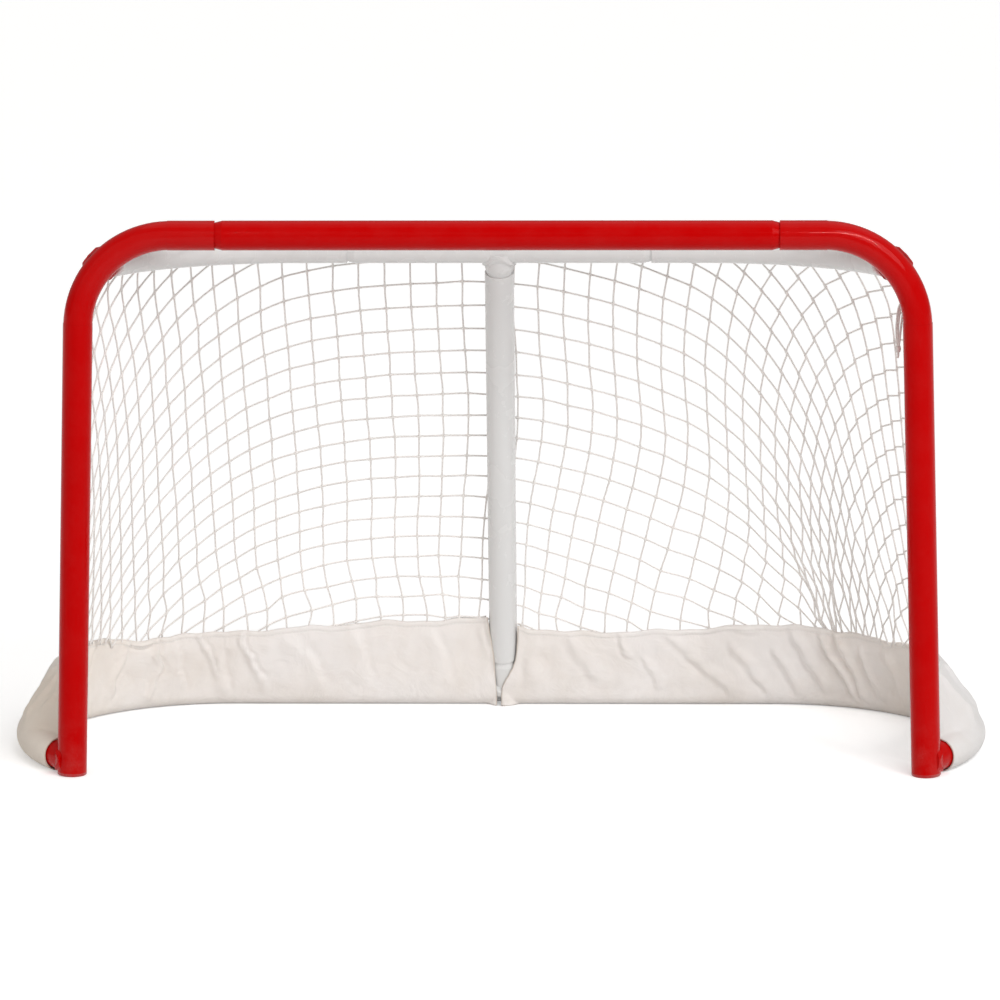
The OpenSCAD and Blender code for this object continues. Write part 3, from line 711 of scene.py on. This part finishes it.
class GOAL_OT_net_bag(bpy.types.Operator):
    """Lays the twine of the bag, from the top rail down into the hem"""

    bl_idname = "goal.net_bag"
    bl_label = "Net Bag"

    def execute(self, context):
        opts = context.scene.goal_net
        rng = random.Random(11)
        flat = FlatBag()
        corners = {key: settle(p, rng) for key, p in sorted(lattice(opts.pitch * 1000).items())}
        columns = sorted({k for k, _ in corners})
        rows = sorted({m for _, m in corners})
        lines = [self.column(corners, k, rows) for k in columns]
        lines += [[corners[k, m] for k in columns] for m in rows]
        bm = bmesh.new()
        for line in lines:
            path = catmull(line, TWINE_STEPS)
            run = []
            for n, (t, v) in enumerate(flat.find(path)):
                if self.shows(t, v):
                    side = 1 if path[n][0] >= 0 else -1
                    thick = CROSSING if n % TWINE_STEPS == 0 else 1.0
                    run.append((placed(bag(t, v, side)), opts.twine / 2 * thick))
                else:
                    self.lay(bm, run)
                    run = []
            self.lay(bm, run)
        piece = finish_piece("net_bag", bm, twine_finish("knotless_twine", tuple(opts.tint)))
        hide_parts("net_back", "net_left", "net_right")
        return {"FINISHED"}

    def shows(self, t, v):
        """Whether the bag has twine there, which it never has where t is NaN. It ends in the hem."""
        low = 1.05 - 0.03 * smooth((t - 0.6) / 0.1) - 0.015 * smooth((t - 0.84) / 0.05)
        return t <= SIDE_END - 1e-6 and -0.012 < v < low

    def lay(self, bm, run):
        """Sweeps a twine through places, with the radius at each."""
        if len(run) > 2:
            sweep(bm, *zip(*run), TWINE_SIDES)

    def column(self, corners, k, rows):
        """Corners down one column. Near the right post the twines lie over each other for a few millimetres
        where they cross."""
        out = []
        for m in rows:
            p = corners[k, m]
            slip = 1.1 * smooth((p[0] - 165) / 90)
            if slip < 0.3 or (k + 1, m) not in corners or (k - 1, m) not in corners:
                out.append(p)
                continue
            way = corners[k + 1, m] - corners[k - 1, m]
            way = way / np.linalg.norm(way) * slip
            out += [p - way, p + way]
        return out


# ---------- the net's roof and its border ----------

# The roof's twines: their reach and side end, the back one's place, and the least room for one each way
ROOF_REACH = 330.0
ROOF_END = TOP_ROOT_X - 24
ROOF_BACK = TOP_DEPTH - 6
ROOM_ALONG, ROOM_ACROSS = 12, 4
ACROSS_COUNT = 4
ACROSS_STEP = 2.15
# Three strands of the spare end: how far each is out of line, and its lowest height
SPARE_STRANDS = ((0.0, 368.0), (2.6, 373.0), (-1.6, 371.0))
# Its knot: heights in millimetres, and radii in metres
KNOT_X, KNOT_Y = 348, 19.4
KNOT = ((379.5, 0.0008), (378.5, 0.0021), (376, 0.0026), (373.5, 0.0021), (372.5, 0.0008))


def frame_z(x):
    """Height of the crossbar's axis at x, then of the bend's."""
    x = abs(x)
    return BAR_Z if x < BEND_X else BEND_Z + sqrt(max(0.0, CORNER_R**2 - (x - BEND_X) ** 2))


def rail_y(x):
    """Depth of the top rail's axis."""
    x = abs(x)
    if x <= TOP_ARC_X:
        return TOP_DEPTH
    return TOP_ARC_Y + sqrt(max(0.0, TOP_R**2 - (x - TOP_ARC_X) ** 2))


def roof(x, w):
    """The net between the crossbar and the top rail, then a quarter turn round the rail's back."""
    y_back = rail_y(x)
    if w <= 1:
        z = blend(frame_z(x) + SEAT_OUT, TOP_Z + NET_OFF, w) - ROOF_SAG * sin(pi * w)
        return np.array([x, blend(SEAT_Y, y_back, w), z])
    a = (w - 1) * pi / 2
    return np.array([x, y_back + NET_OFF * sin(a), TOP_Z + NET_OFF * cos(a)])


class GOAL_OT_net_roof(bpy.types.Operator):
    """Stretches the twine between the crossbar and the top rail"""

    bl_idname = "goal.net_roof"
    bl_label = "Net Roof"

    def execute(self, context):
        opts = context.scene.goal_net
        rng = random.Random(5)
        radius, pitch = opts.twine / 2, opts.pitch * 1000
        bm = bmesh.new()
        count = int(ROOF_REACH // pitch)
        for k in range(-count, count + 1):
            x = k * pitch + CENTRE_X + rng.gauss(0, 0.8)
            if abs(x) > ROOF_END or rail_y(x) - SEAT_Y < ROOM_ALONG:
                continue
            path = [placed(roof(x + 1.5 * sin(n), n / 16)) for n in range(17)]
            path += [placed(roof(x, 1 + n / 5)) for n in range(1, 6)]
            sweep(bm, path, radius, TWINE_SIDES)
        for row in range(ACROSS_COUNT):
            path = self.across(ROOF_BACK - row * pitch)
            if len(path) > 2:
                sweep(bm, path, radius, TWINE_SIDES)
        piece = finish_piece("net_roof", bm, bpy.data.materials["knotless_twine"])
        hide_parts("net_top")
        return {"FINISHED"}

    def across(self, y):
        """Line from side to side at depth y, as far as there is roof."""
        path = []
        for n in range(-150, 151):
            x = n * ACROSS_STEP
            room = rail_y(x) - SEAT_Y
            w = (y + 1.2 * sin(x / 9) - SEAT_Y) / max(room, ROOM_ACROSS)
            if room >= ROOM_ACROSS and 0.02 <= w <= 1 and abs(x) < ROOF_END:
                path.append(placed(roof(x, w)))
        return path


class GOAL_OT_net_border(bpy.types.Operator):
    """Runs the border cord up the posts and along the crossbar, and hangs its spare end"""

    bl_idname = "goal.net_border"
    bl_label = "Net Border"

    def execute(self, context):
        opts = context.scene.goal_net
        bm = bmesh.new()
        for side in (-1, 1):
            sweep(bm, [placed(p) for p in self.edge(side)], opts.border / 2)
        # A spare end of the lacing hangs from the right post, knotted
        for shift, low in SPARE_STRANDS:
            hang = [(353.5, 18.6, 421), (350 + shift, 19.6, 413), (348 + shift, 19.4, 398),
                    (347.6 + shift * 0.6, 19.0, 384), (348.2, 19.4, low + 4), (347.8, 19.8, low)]
            sweep(bm, [placed(p) for p in catmull(hang, 8)], opts.border * 0.42)
        knot = [placed((KNOT_X, KNOT_Y, z)) for z, _ in KNOT]
        sweep(bm, knot, [radius for _, radius in KNOT], sides=8)
        piece = finish_piece("net_border_cord", bm, twine_finish("border_cord", faded(opts.tint, 0.92)))
        return {"FINISHED"}

    def edge(self, side):
        """Line up a post, round its bend and along half the crossbar."""
        path = []
        for n in range(121):
            x, y, z = front_edge(1 - n / 120)
            path.append((side * (x - 1.2 * sin(n * 0.9)), y + 0.8 * sin(n * 0.7), z))
        start = acos(min(1, (path[-1][2] - BEND_Z) / CORNER_R))
        for n in range(1, 25):
            a = start * (1 - n / 24)
            x = BEND_X + CORNER_R * sin(a) + SEAT_OUT
            path.append((side * x, SEAT_Y, BEND_Z + CORNER_R * cos(a)))
        for n in range(1, 41):
            path.append((side * BEND_X * (1 - n / 40), SEAT_Y + 0.6 * sin(n), BAR_Z + SEAT_OUT))
        return path


# ---------- the skirt ----------

# The cloth's radius round the rail, half the gap between the hem's layers, and the cloth's lowest height
CLOTH_R = 14.4
HEM_HALF = 0.75
CLOTH_LOW = 0.6
# The grid of each half, along the rail and round it
GRID = (320, 84)
# The two walls come together over this length, from so far before the cloth's end
PINCH_LONG, PINCH_FROM = 52, 66
# What stands out under the flap: the centre post's round foot, then a slope away from it
FOOT_R = 13.2
FOOT_X, SLOPE_HIGH, SLOPE = 9, 9.65, 0.93
# The flap stands off the foot, and comes back to the plain wall beside it
FLAP_LEAN = radians(22.34)
FLAP_SHARE, FLAP_OFF = 1.08, 1.5
FLAP_FROM, FLAP_LONG, FLAP_END = 17, 12, 30


def rail_frame(s):
    """Plan point of the base rail at length s and its inward direction."""
    p = plan(s, BASE_ARC_X, BASE_ARC_Y, BASE_R, 0)
    return p, plan(s, BASE_ARC_X, BASE_ARC_Y, BASE_R, -1) - p


def sleeve_lines():
    """Angles at which the sleeve's inner and outer wall leave the rail."""
    tilt = atan2(HEM_Z - RAIL_Z, HEM_IN)
    opening = acos(CLOTH_R / hypot(HEM_IN, HEM_Z - RAIL_Z))
    return tilt - opening, tilt + opening


WALL = sqrt(HEM_IN**2 + (HEM_Z - RAIL_Z) ** 2 - CLOTH_R**2)
ANGLE_IN, ANGLE_OUT = sleeve_lines()
ARC = (2 * pi - (ANGLE_OUT - ANGLE_IN)) * CLOTH_R
ROUND = 2 * WALL + ARC


def sleeve(d):
    """Point (inwards, up) of the sleeve at length d from the inner hem down, under the rail and up to the
    outer hem, and the direction out of the sleeve there."""
    if d < WALL or d > WALL + ARC:
        inner = d < WALL
        a = ANGLE_IN if inner else ANGLE_OUT
        foot = np.array([CLOTH_R * cos(a), RAIL_Z + CLOTH_R * sin(a)])
        top = np.array([HEM_IN + (HEM_HALF if inner else -HEM_HALF), HEM_Z])
        w = d / WALL if inner else (ROUND - d) / WALL
        return blend(top, foot, w), np.array([cos(a), sin(a)])
    a = ANGLE_IN - (d - WALL) / CLOTH_R
    out = np.array([cos(a), sin(a)])
    return np.array([CLOTH_R * out[0], max(CLOTH_LOW, RAIL_Z + CLOTH_R * out[1])]), out


# Folds of each half: along the rail and down the wall at both ends, in millimetres, then width and height
INNER_FOLDS = {
    -1: ((338, 0, 333, 46, 5, 3.6), (333, 44, 343, 73, 4, 3.4), (290, -4, 268, 52, 4, 2.8),
         (246, -4, 222, 68, 4, 3), (375, -2, 390, 60, 7, 3), (22, 2, 12, 34, 5, 2),
         (318, 8, 308, 66, 9, 2), (268, 24, 262, 70, 8, 1.8), (200, 10, 168, 64, 12, 1.6),
         (140, 0, 128, 60, 12, 1.4), (70, 10, 52, 60, 12, 1.4), (430, 0, 445, 60, 8, 3),
         (335, 3, 380, 5, 4, 2), (480, 4, 500, 60, 9, 3)),
    1: ((108, -2, 113, 30, 4, 2.2), (130, 32, 148, 68, 6, 1.8), (173, 32, 215, 73, 8, 2.6),
        (210, 20, 250, 73, 8, 2.8), (252, 24, 283, 73, 8, 2.8), (272, 6, 311, 68, 9, 3.6),
        (303, 6, 342, 73, 6, 4.6), (320, -2, 352, 73, 6, 4), (350, 14, 369, 70, 6, 3.6),
        (30, 8, 22, 60, 8, 1.6), (60, 4, 90, 60, 12, 1.8), (152, 4, 190, 40, 10, 1.6),
        (385, 0, 402, 64, 8, 3), (440, 4, 470, 60, 9, 3), (160, 0, 240, 4, 5, 1.4)),
}
OUTER_FOLDS = {
    -1: ((618, 4, 600, 40, 4, 4.2), (600, 0, 578, 44, 5, 4.6), (572, 2, 556, 60, 5, 4.2),
         (548, 10, 540, 62, 7, 3), (500, 6, 470, 64, 9, 3), (420, 6, 440, 64, 10, 3),
         (330, 8, 300, 60, 9, 2.6), (240, 6, 262, 64, 10, 2.8), (150, 6, 130, 60, 9, 2.4),
         (70, 6, 84, 62, 9, 2.2)),
    1: ((608, 4, 594, 50, 5, 3), (575, 6, 556, 56, 7, 3.4), (530, 4, 512, 60, 8, 3),
        (470, 6, 455, 64, 10, 3), (400, 6, 380, 64, 9, 2.6), (330, 8, 310, 60, 9, 2.6),
        (255, 6, 275, 64, 10, 2.8), (165, 6, 140, 60, 9, 2.4), (80, 6, 95, 62, 9, 2.2)),
}
# How far the hem stands over or under its height, along the rail
HEM_LINE = {
    -1: ((12, 5.5), (34, 2), (60, 0), (100, 0), (170, -5), (226, -9), (262, -11.5), (298, -10), (325, -13.5),
         (350, -14), (392, -8.5), (432, -3), (500, -1), (640, 0)),
    1: ((12, -2.5), (24, -7), (60, -10.5), (105, -10.5), (180, -7.5), (235, -3.5), (262, -3.5), (294, -5),
        (332, -7), (378, -9.5), (420, -8), (500, -3), (640, 0)),
}
# Edge of each half's inner wall beside the centre post, from the hem (0) down to the rail (1)
FLAP_EDGE = {
    -1: ((0, 14.4), (0.18, 12.4), (0.35, 10.2), (0.5, 8.7), (0.62, 8.0), (0.8, 7.2), (0.9, 6.6), (1, 6.2)),
    1: ((0, 13.7), (0.2, 13.3), (0.35, 12.6), (0.5, 11.3), (0.62, 8.9), (0.72, 5.4), (0.82, 1.2), (0.9, -1.2),
        (1, -2.0)),
}
BACK_EDGE = 15.6
# How much faster than at the front end the frayed edge and painted shadow of each flap fade, and their width
# there
FRAY_AND_SHADOW_FIRST = {-1: 2.2, 1: 1.3}
FRAY_AND_SHADOW = 2.2


def line_at(table, x):
    """Smooth reading of a short table of pairs."""
    for (x0, y0), (x1, y1) in zip(table[:-1], table[1:]):
        if x <= x1:
            t = (x - x0) / (x1 - x0)
            return blend(y0, y1, smooth(t) * 0.5 + 0.5 * min(1, max(0, t)))
    return table[-1][1]


def wander(x, y, z):
    return noise.noise(Vector((x, y, z)))


def fold_height(folds, s, h):
    """How far the folds lift the cloth at s along the rail and h down the wall."""
    out = 0.0
    # No fold runs quite straight
    bent_s = s + 5 * wander(s / 21, h / 21, 1.3) + 2 * wander(s / 8, h / 8, 4.1)
    bent_h = h + 5 * wander(s / 26, h / 26, 7.7)
    for s0, h0, s1, h1, width, high in folds:
        run, fall = s1 - s0, h1 - h0
        ds, dh = bent_s - s0, bent_h - h0
        t = (ds * run + dh * fall) / (run**2 + fall**2)
        near = min(1.0, max(0.0, t))
        gap = hypot(ds - near * run, dh - near * fall)
        if gap > 4 * width:
            continue
        # A roll with a soft slope on one side, and on the other a steep one with a sharp groove under it
        soft = ds * fall - dh * run > 0
        g = gap / (width * (1.1 if soft else 0.42) * (0.55 + 0.6 * near))
        ends = smooth((t + 0.15) / 0.3) * smooth((1.15 - t) / 0.3)
        out += high * exp(-g * g) * ends
        if not soft:
            out -= 0.5 * high * exp(-(((gap - 0.85 * width) / (0.32 * width)) ** 2)) * ends
    return out


def hem_rise(s, side):
    """The hem isn't level: it dips and lifts between its folds."""
    return line_at(HEM_LINE[side], s) + 0.9 * sin(s / 11.5 + 2 * side) + 0.5 * sin(s / 5.3)


def over_foot(s, i, z):
    """Where the inner wall lies over the foot of the centre post and draws away from its shoulder."""
    x = abs(s)
    if x >= FLAP_END:
        return i
    bulge = sqrt(FOOT_R**2 - x * x) if x < FOOT_X else max(0.0, SLOPE_HIGH - SLOPE * (x - FOOT_X))
    need = max(0.0, z - RAIL_Z) * tan(FLAP_LEAN) + FLAP_SHARE * bulge + FLAP_OFF
    return max(i, blend(need, i, smooth((x - FLAP_FROM) / FLAP_LONG)))


class GOAL_OT_skirt(bpy.types.Operator):
    """Sews the two halves of the canvas skirt round the base rail"""

    bl_idname = "goal.skirt"
    bl_label = "Canvas Skirt"

    def execute(self, context):
        opts = context.scene.goal_skirt
        finish = canvas_finish("canvas_cloth", tuple(opts.tint), opts.hem)
        for side, name in ((-1, "skirt_left"), (1, "skirt_right")):
            self.half(side, name, opts, finish)
        return {"FINISHED"}

    def half(self, side, name, opts, finish):
        last = BASE_PATH - CLOTH_END
        bm = bmesh.new()
        uv = bm.loops.layers.uv.verify()
        # Marks the cut edges' fraying and the flaps' painted shadow
        edge = bm.verts.layers.float.new("fray_and_shadow_edge")
        bmesh.ops.create_grid(bm, x_segments=GRID[0], y_segments=GRID[1], size=0.5)
        place = {}
        for vert in bm.verts:
            d = ROUND * (vert.co.y + 0.5)
            first = self.first(side, d)
            s = blend(first, last, vert.co.x + 0.5)
            place[vert] = (s, d)
            vert[edge] = max(0.0, 1 - min((s - first) * FRAY_AND_SHADOW_FIRST[side], last - s) / FRAY_AND_SHADOW)
        for loop in (loop for face in bm.faces for loop in face.loops):
            s, d = place[loop.vert]
            loop[uv].uv = (s * 0.001 * side, min(d, ROUND - d) * 0.001)
        for vert, (s, d) in place.items():
            vert.co = placed(self.point(side, s, d))
        if side == 1:
            bmesh.ops.reverse_faces(bm, faces=bm.faces)
        piece = finish_piece("canvas_" + name, bm, finish)
        thick = piece.modifiers.new("Thickness", "SOLIDIFY")
        thick.thickness = opts.thickness
        thick.offset = 0
        thick.use_even_offset = False
        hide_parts(name)

    def first(self, side, d):
        """Where the cloth begins beside the centre post, at length d round the sleeve."""
        if d / WALL <= 1:
            return line_at(FLAP_EDGE[side], d / WALL)
        return blend(FLAP_EDGE[side][-1][1], BACK_EDGE, smooth((d - WALL - 0.3 * ARC) / (0.6 * ARC)))

    def point(self, side, s, d):
        """A point of the cloth in the mouth's own frame, at s along the rail and d round the sleeve."""
        (i, z), out = sleeve(d)
        inner = d < WALL + ARC / 2
        h = min(d, ROUND - d)
        wall = h / WALL
        pinch = smooth((s - (BASE_PATH - CLOTH_END - PINCH_FROM)) / PINCH_LONG)
        folds = INNER_FOLDS if inner else OUTER_FOLDS
        push = fold_height(folds[side], s, h) * smooth((wall + 0.05) / 0.12) * smooth((1.12 - wall) / 0.2)
        push *= 1 - 0.25 * pinch
        layer = 0 if inner else 9
        grain = wander(s / 38, h / 60, 3.7 * side + layer) * 1.7
        grain += wander(s / 12, h / 26, 5.1 * side + layer) * 0.9
        swell = smooth(wall / 0.25) * smooth((1.12 - wall) / 0.35)
        push += (grain + 1.4) * swell * (1 - pinch)
        i, z = i + out[0] * push, max(CLOTH_LOW, z + out[1] * push)
        if wall < 1 and pinch > 0:
            # Towards its front end the two walls lie against each other above the rail
            middle = (z - RAIL_Z) * HEM_IN / (HEM_Z - RAIL_Z) - 2.0 * sin(pi * wall)
            i = blend(i, middle + (0.9 if inner else -0.9), pinch * smooth((1.03 - wall) / 0.16))
            off = hypot(i, z - RAIL_Z)
            if off < CLOTH_R:
                i, z = i * CLOTH_R / off, RAIL_Z + (z - RAIL_Z) * CLOTH_R / off
        if inner:
            i = over_foot(s, i, z)
        z += hem_rise(s, side) * smooth(1 - wall / 0.85)
        (x, y), inward = rail_frame(s)
        return side * (x + inward[0] * i), y + inward[1] * i, z


# ---------- finishes on the frame's own pieces ----------

# The welds of the top corners lie this far behind the mouth's plane
WELD_Y = 4


def dress(name, finish):
    """Gives a node of the frame its finish."""
    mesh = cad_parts[name].data
    mesh.materials.clear()
    mesh.materials.append(finish)


class GOAL_OT_paint(bpy.types.Operator):
    """Paints the tubes of the frame"""

    bl_idname = "goal.paint"
    bl_label = "Painted Frame"

    def execute(self, context):
        opts = context.scene.goal_paint
        red, white = tuple(opts.red), tuple(opts.white)
        sheen = {"spec": 0.12, "spec_tint": (1.0, 0.08, 0.08)}
        coats = {}
        for name, seed, coat in (("left_post", 0.0, 0.2), ("right_post", 3.1, 0.2), ("crossbar", 7.7, 0.09)):
            coats[name] = enamel("red_enamel_" + name, red, seed, 0.12, coat=coat, **sheen)
        for side, word in ((-1, "left"), (1, "right")):
            top, base = word + "_top_corner", word + "_base_corner"
            weld = (placed((side * TOP_ROOT_X, WELD_Y, TOP_Z)), faded(red, 0.8))
            coats[top] = enamel("white_enamel_" + top, white, 5.0 + side, 0.26, weld=weld)
            coats[base] = enamel("red_enamel_" + base, red, 9.0 + side, 0.18, dust=0.1, **sheen)
        pale = enamel("white_enamel_rails", white, 1.3, 0.27, marks=0.12, tone=0.04)
        for name in ("top_rail", "top_tee", "centre_post", "base_tee", "base_rail"):
            coats[name] = pale
        for name, coat in coats.items():
            dress(name, coat)
        return {"FINISHED"}


class GOAL_OT_hardware(bpy.types.Operator):
    """Finishes the plugs, the screws and the net's hooks"""

    bl_idname = "goal.hardware"
    bl_label = "Plugs, Screws and Hooks"

    def execute(self, context):
        opts = context.scene.goal_paint
        plug = moulded("red_plug_plastic", tuple(opts.plug), 0.3)
        hook = moulded("red_hook_plastic", tuple(opts.clip), 0.35)
        zinc = zinc_plate()
        for name in ("left_post_cap", "right_post_cap"):
            dress(name, plug)
        for name in ("crossbar", "top_rail", "centre_post", "base_rail"):
            dress(name + "_screws", zinc)
        for name in ("left", "right", "crossbar"):
            dress(name + "_net_clips", hook)
        return {"FINISHED"}


# ---------- floor, lamps and camera, in metres ----------

FLOOR_HALF = 30
# The floor glows this much where the camera sees it, so that it has no edge
FLOOR_GLOW = 0.38
LAMP_AIM = (0, 0, 0.2)
BEND_AIM = (0.3, -0.1, 0.4)
TUBE_WIDE = 0.014
# The camera's focal length in millimetres, what it looks at, and its turns round the goal and its own axis
LENS = 180
TARGET = (0.002, -0.144, 0.2459)
TURN, ROLL = radians(1.0), radians(-0.16)


def set_axes(thing, x, y, z, place):
    """Places an object with its axes along x, y and z."""
    thing.matrix_world = Matrix([(*x, 0), (*y, 0), (*z, 0), (*place, 1)]).transposed()


def lamp(name, kind, place, energy, aim=LAMP_AIM, **more):
    """A lamp at a place that shines towards aim."""
    data = bpy.data.lights.new(name, kind)
    data.energy = energy
    for key, value in more.items():
        setattr(data, key, value)
    new = add_object(name, data)
    new.location = place
    new.rotation_euler = (Vector(aim) - Vector(place)).to_track_quat("-Z", "Y").to_euler()
    return new


def tube_lamp(name, start, end, energy):
    """A long narrow lamp between two places, facing the right bend."""
    start, end = Vector(start), Vector(end)
    middle = (start + end) / 2
    new = lamp(name, "AREA", middle, energy, shape="RECTANGLE", size=(end - start).length, size_y=TUBE_WIDE)
    x = (end - start).normalized()
    z = middle - Vector(BEND_AIM)
    z = (z - x * z.dot(x)).normalized()
    set_axes(new, x, z.cross(x), z, middle)


class GOAL_OT_stage(bpy.types.Operator):
    """Lays the floor, hangs the lamps and sets the camera"""

    bl_idname = "goal.stage"
    bl_label = "Floor, Lamps and Camera"

    def execute(self, context):
        opts = context.scene.goal_stage
        context.scene.view_settings.view_transform = "Standard"
        self.floor(opts)
        self.lamps(context.scene)
        self.camera(context.scene, opts)
        return {"FINISHED"}

    def floor(self, opts):
        finish, shader, at = material("studio_floor")
        tone = times(cloud(at, 3.0, 2.0), 0.02)
        rays = source(shader, "LightPath").outputs
        seen = math_node("MAXIMUM", rays["Is Camera Ray"], rays["Is Glossy Ray"])
        seen = math_node("MAXIMUM", seen, rays["Is Transmission Ray"])
        feed(shader, Base_Color=mix_colour(tone, tuple(opts.floor), (0.82, 0.82, 0.82)),
             Roughness=0.9, Specular_IOR_Level=0.0, Emission_Color=(1.0, 1.0, 1.0),
             Emission_Strength=times(seen, FLOOR_GLOW))
        bm = bmesh.new()
        bmesh.ops.create_grid(bm, x_segments=1, y_segments=1, size=FLOOR_HALF)
        mesh_object("studio_floor", bm, finish)

    def lamps(self, scene):
        scene.world = bpy.data.worlds.new("studio")
        scene.world.use_nodes = True
        feed(scene.world.node_tree.nodes["Background"], Color=(1.0, 0.98, 0.96), Strength=0.36)
        lamp("key_sun", "SUN", (1.6, -2.3, 2.3), 1.05, angle=radians(40))
        lamp("fill_sun", "SUN", (-1.6, -2.6, 1.3), 0.36, angle=radians(60), color=(1.0, 0.93, 0.86))
        lamp("top_sun", "SUN", (0.4, 0.5, 3.0), 0.4, angle=radians(60))
        # Two tube lamps, end to end, whose glint runs round the right bend
        tube_lamp("tube_lamp_low", (0.40, -2.70, 1.84), (1.47, -1.90, 2.60), 17)
        tube_lamp("tube_lamp_high", (1.47, -1.90, 2.60), (1.71, -2.24, 2.04), 7.5)
        lamp("glint_left", "AREA", (-0.42, -2.70, 1.84), 0.5, (-0.3, -0.1, 0.4), size=0.04)

    def camera(self, scene, opts):
        data = bpy.data.cameras.new("view")
        data.sensor_width = 36
        data.lens = LENS
        data.clip_end = 100
        scene.camera = add_object("view", data)
        tilt = opts.elevation
        back = Vector((sin(TURN) * cos(tilt), -cos(TURN) * cos(tilt), sin(tilt)))
        back.normalize()
        right = Vector((0, 0, 1)).cross(back).normalized()
        up = back.cross(right)
        set_axes(scene.camera, right * cos(ROLL) + up * sin(ROLL),
                 up * cos(ROLL) - right * sin(ROLL), back, Vector(TARGET) + back * opts.distance)


class GOAL_PT_panel(bpy.types.Panel):
    """Lists the goal's pieces and their sizes"""

    bl_idname = "GOAL_PT_panel"
    bl_label = "Street Hockey Goal"
    bl_space_type = "VIEW_3D"
    bl_region_type = "UI"
    bl_category = "Goal"

    def draw(self, context):
        layout = self.layout
        for kind in STEPS:
            layout.operator(kind.bl_idname)
        for name in GROUPS:
            box = layout.box()
            group = getattr(context.scene, name)
            for key in group.__annotations__:
                box.prop(group, key)


STEPS = (GOAL_OT_stage, GOAL_OT_paint, GOAL_OT_hardware, GOAL_OT_net_bag, GOAL_OT_net_roof,
         GOAL_OT_net_border, GOAL_OT_skirt)
GROUPS = {"goal_paint": GOAL_PG_paint, "goal_net": GOAL_PG_net, "goal_skirt": GOAL_PG_skirt,
          "goal_stage": GOAL_PG_stage}
CLASSES = (*GROUPS.values(), *STEPS, GOAL_PT_panel)


def register():
    for kind in CLASSES:
        bpy.utils.register_class(kind)
    for name, kind in GROUPS.items():
        setattr(bpy.types.Scene, name, bpy.props.PointerProperty(type=kind))


def unregister():
    for name in GROUPS:
        delattr(bpy.types.Scene, name)
    for kind in reversed(CLASSES):
        bpy.utils.unregister_class(kind)


def main():
    register()
    bpy.ops.goal.stage()
    bpy.ops.goal.paint()
    bpy.ops.goal.hardware()
    bpy.ops.goal.net_bag()
    bpy.ops.goal.net_roof()
    bpy.ops.goal.net_border()
    bpy.ops.goal.skirt()


if __name__ == "__main__":
    main()
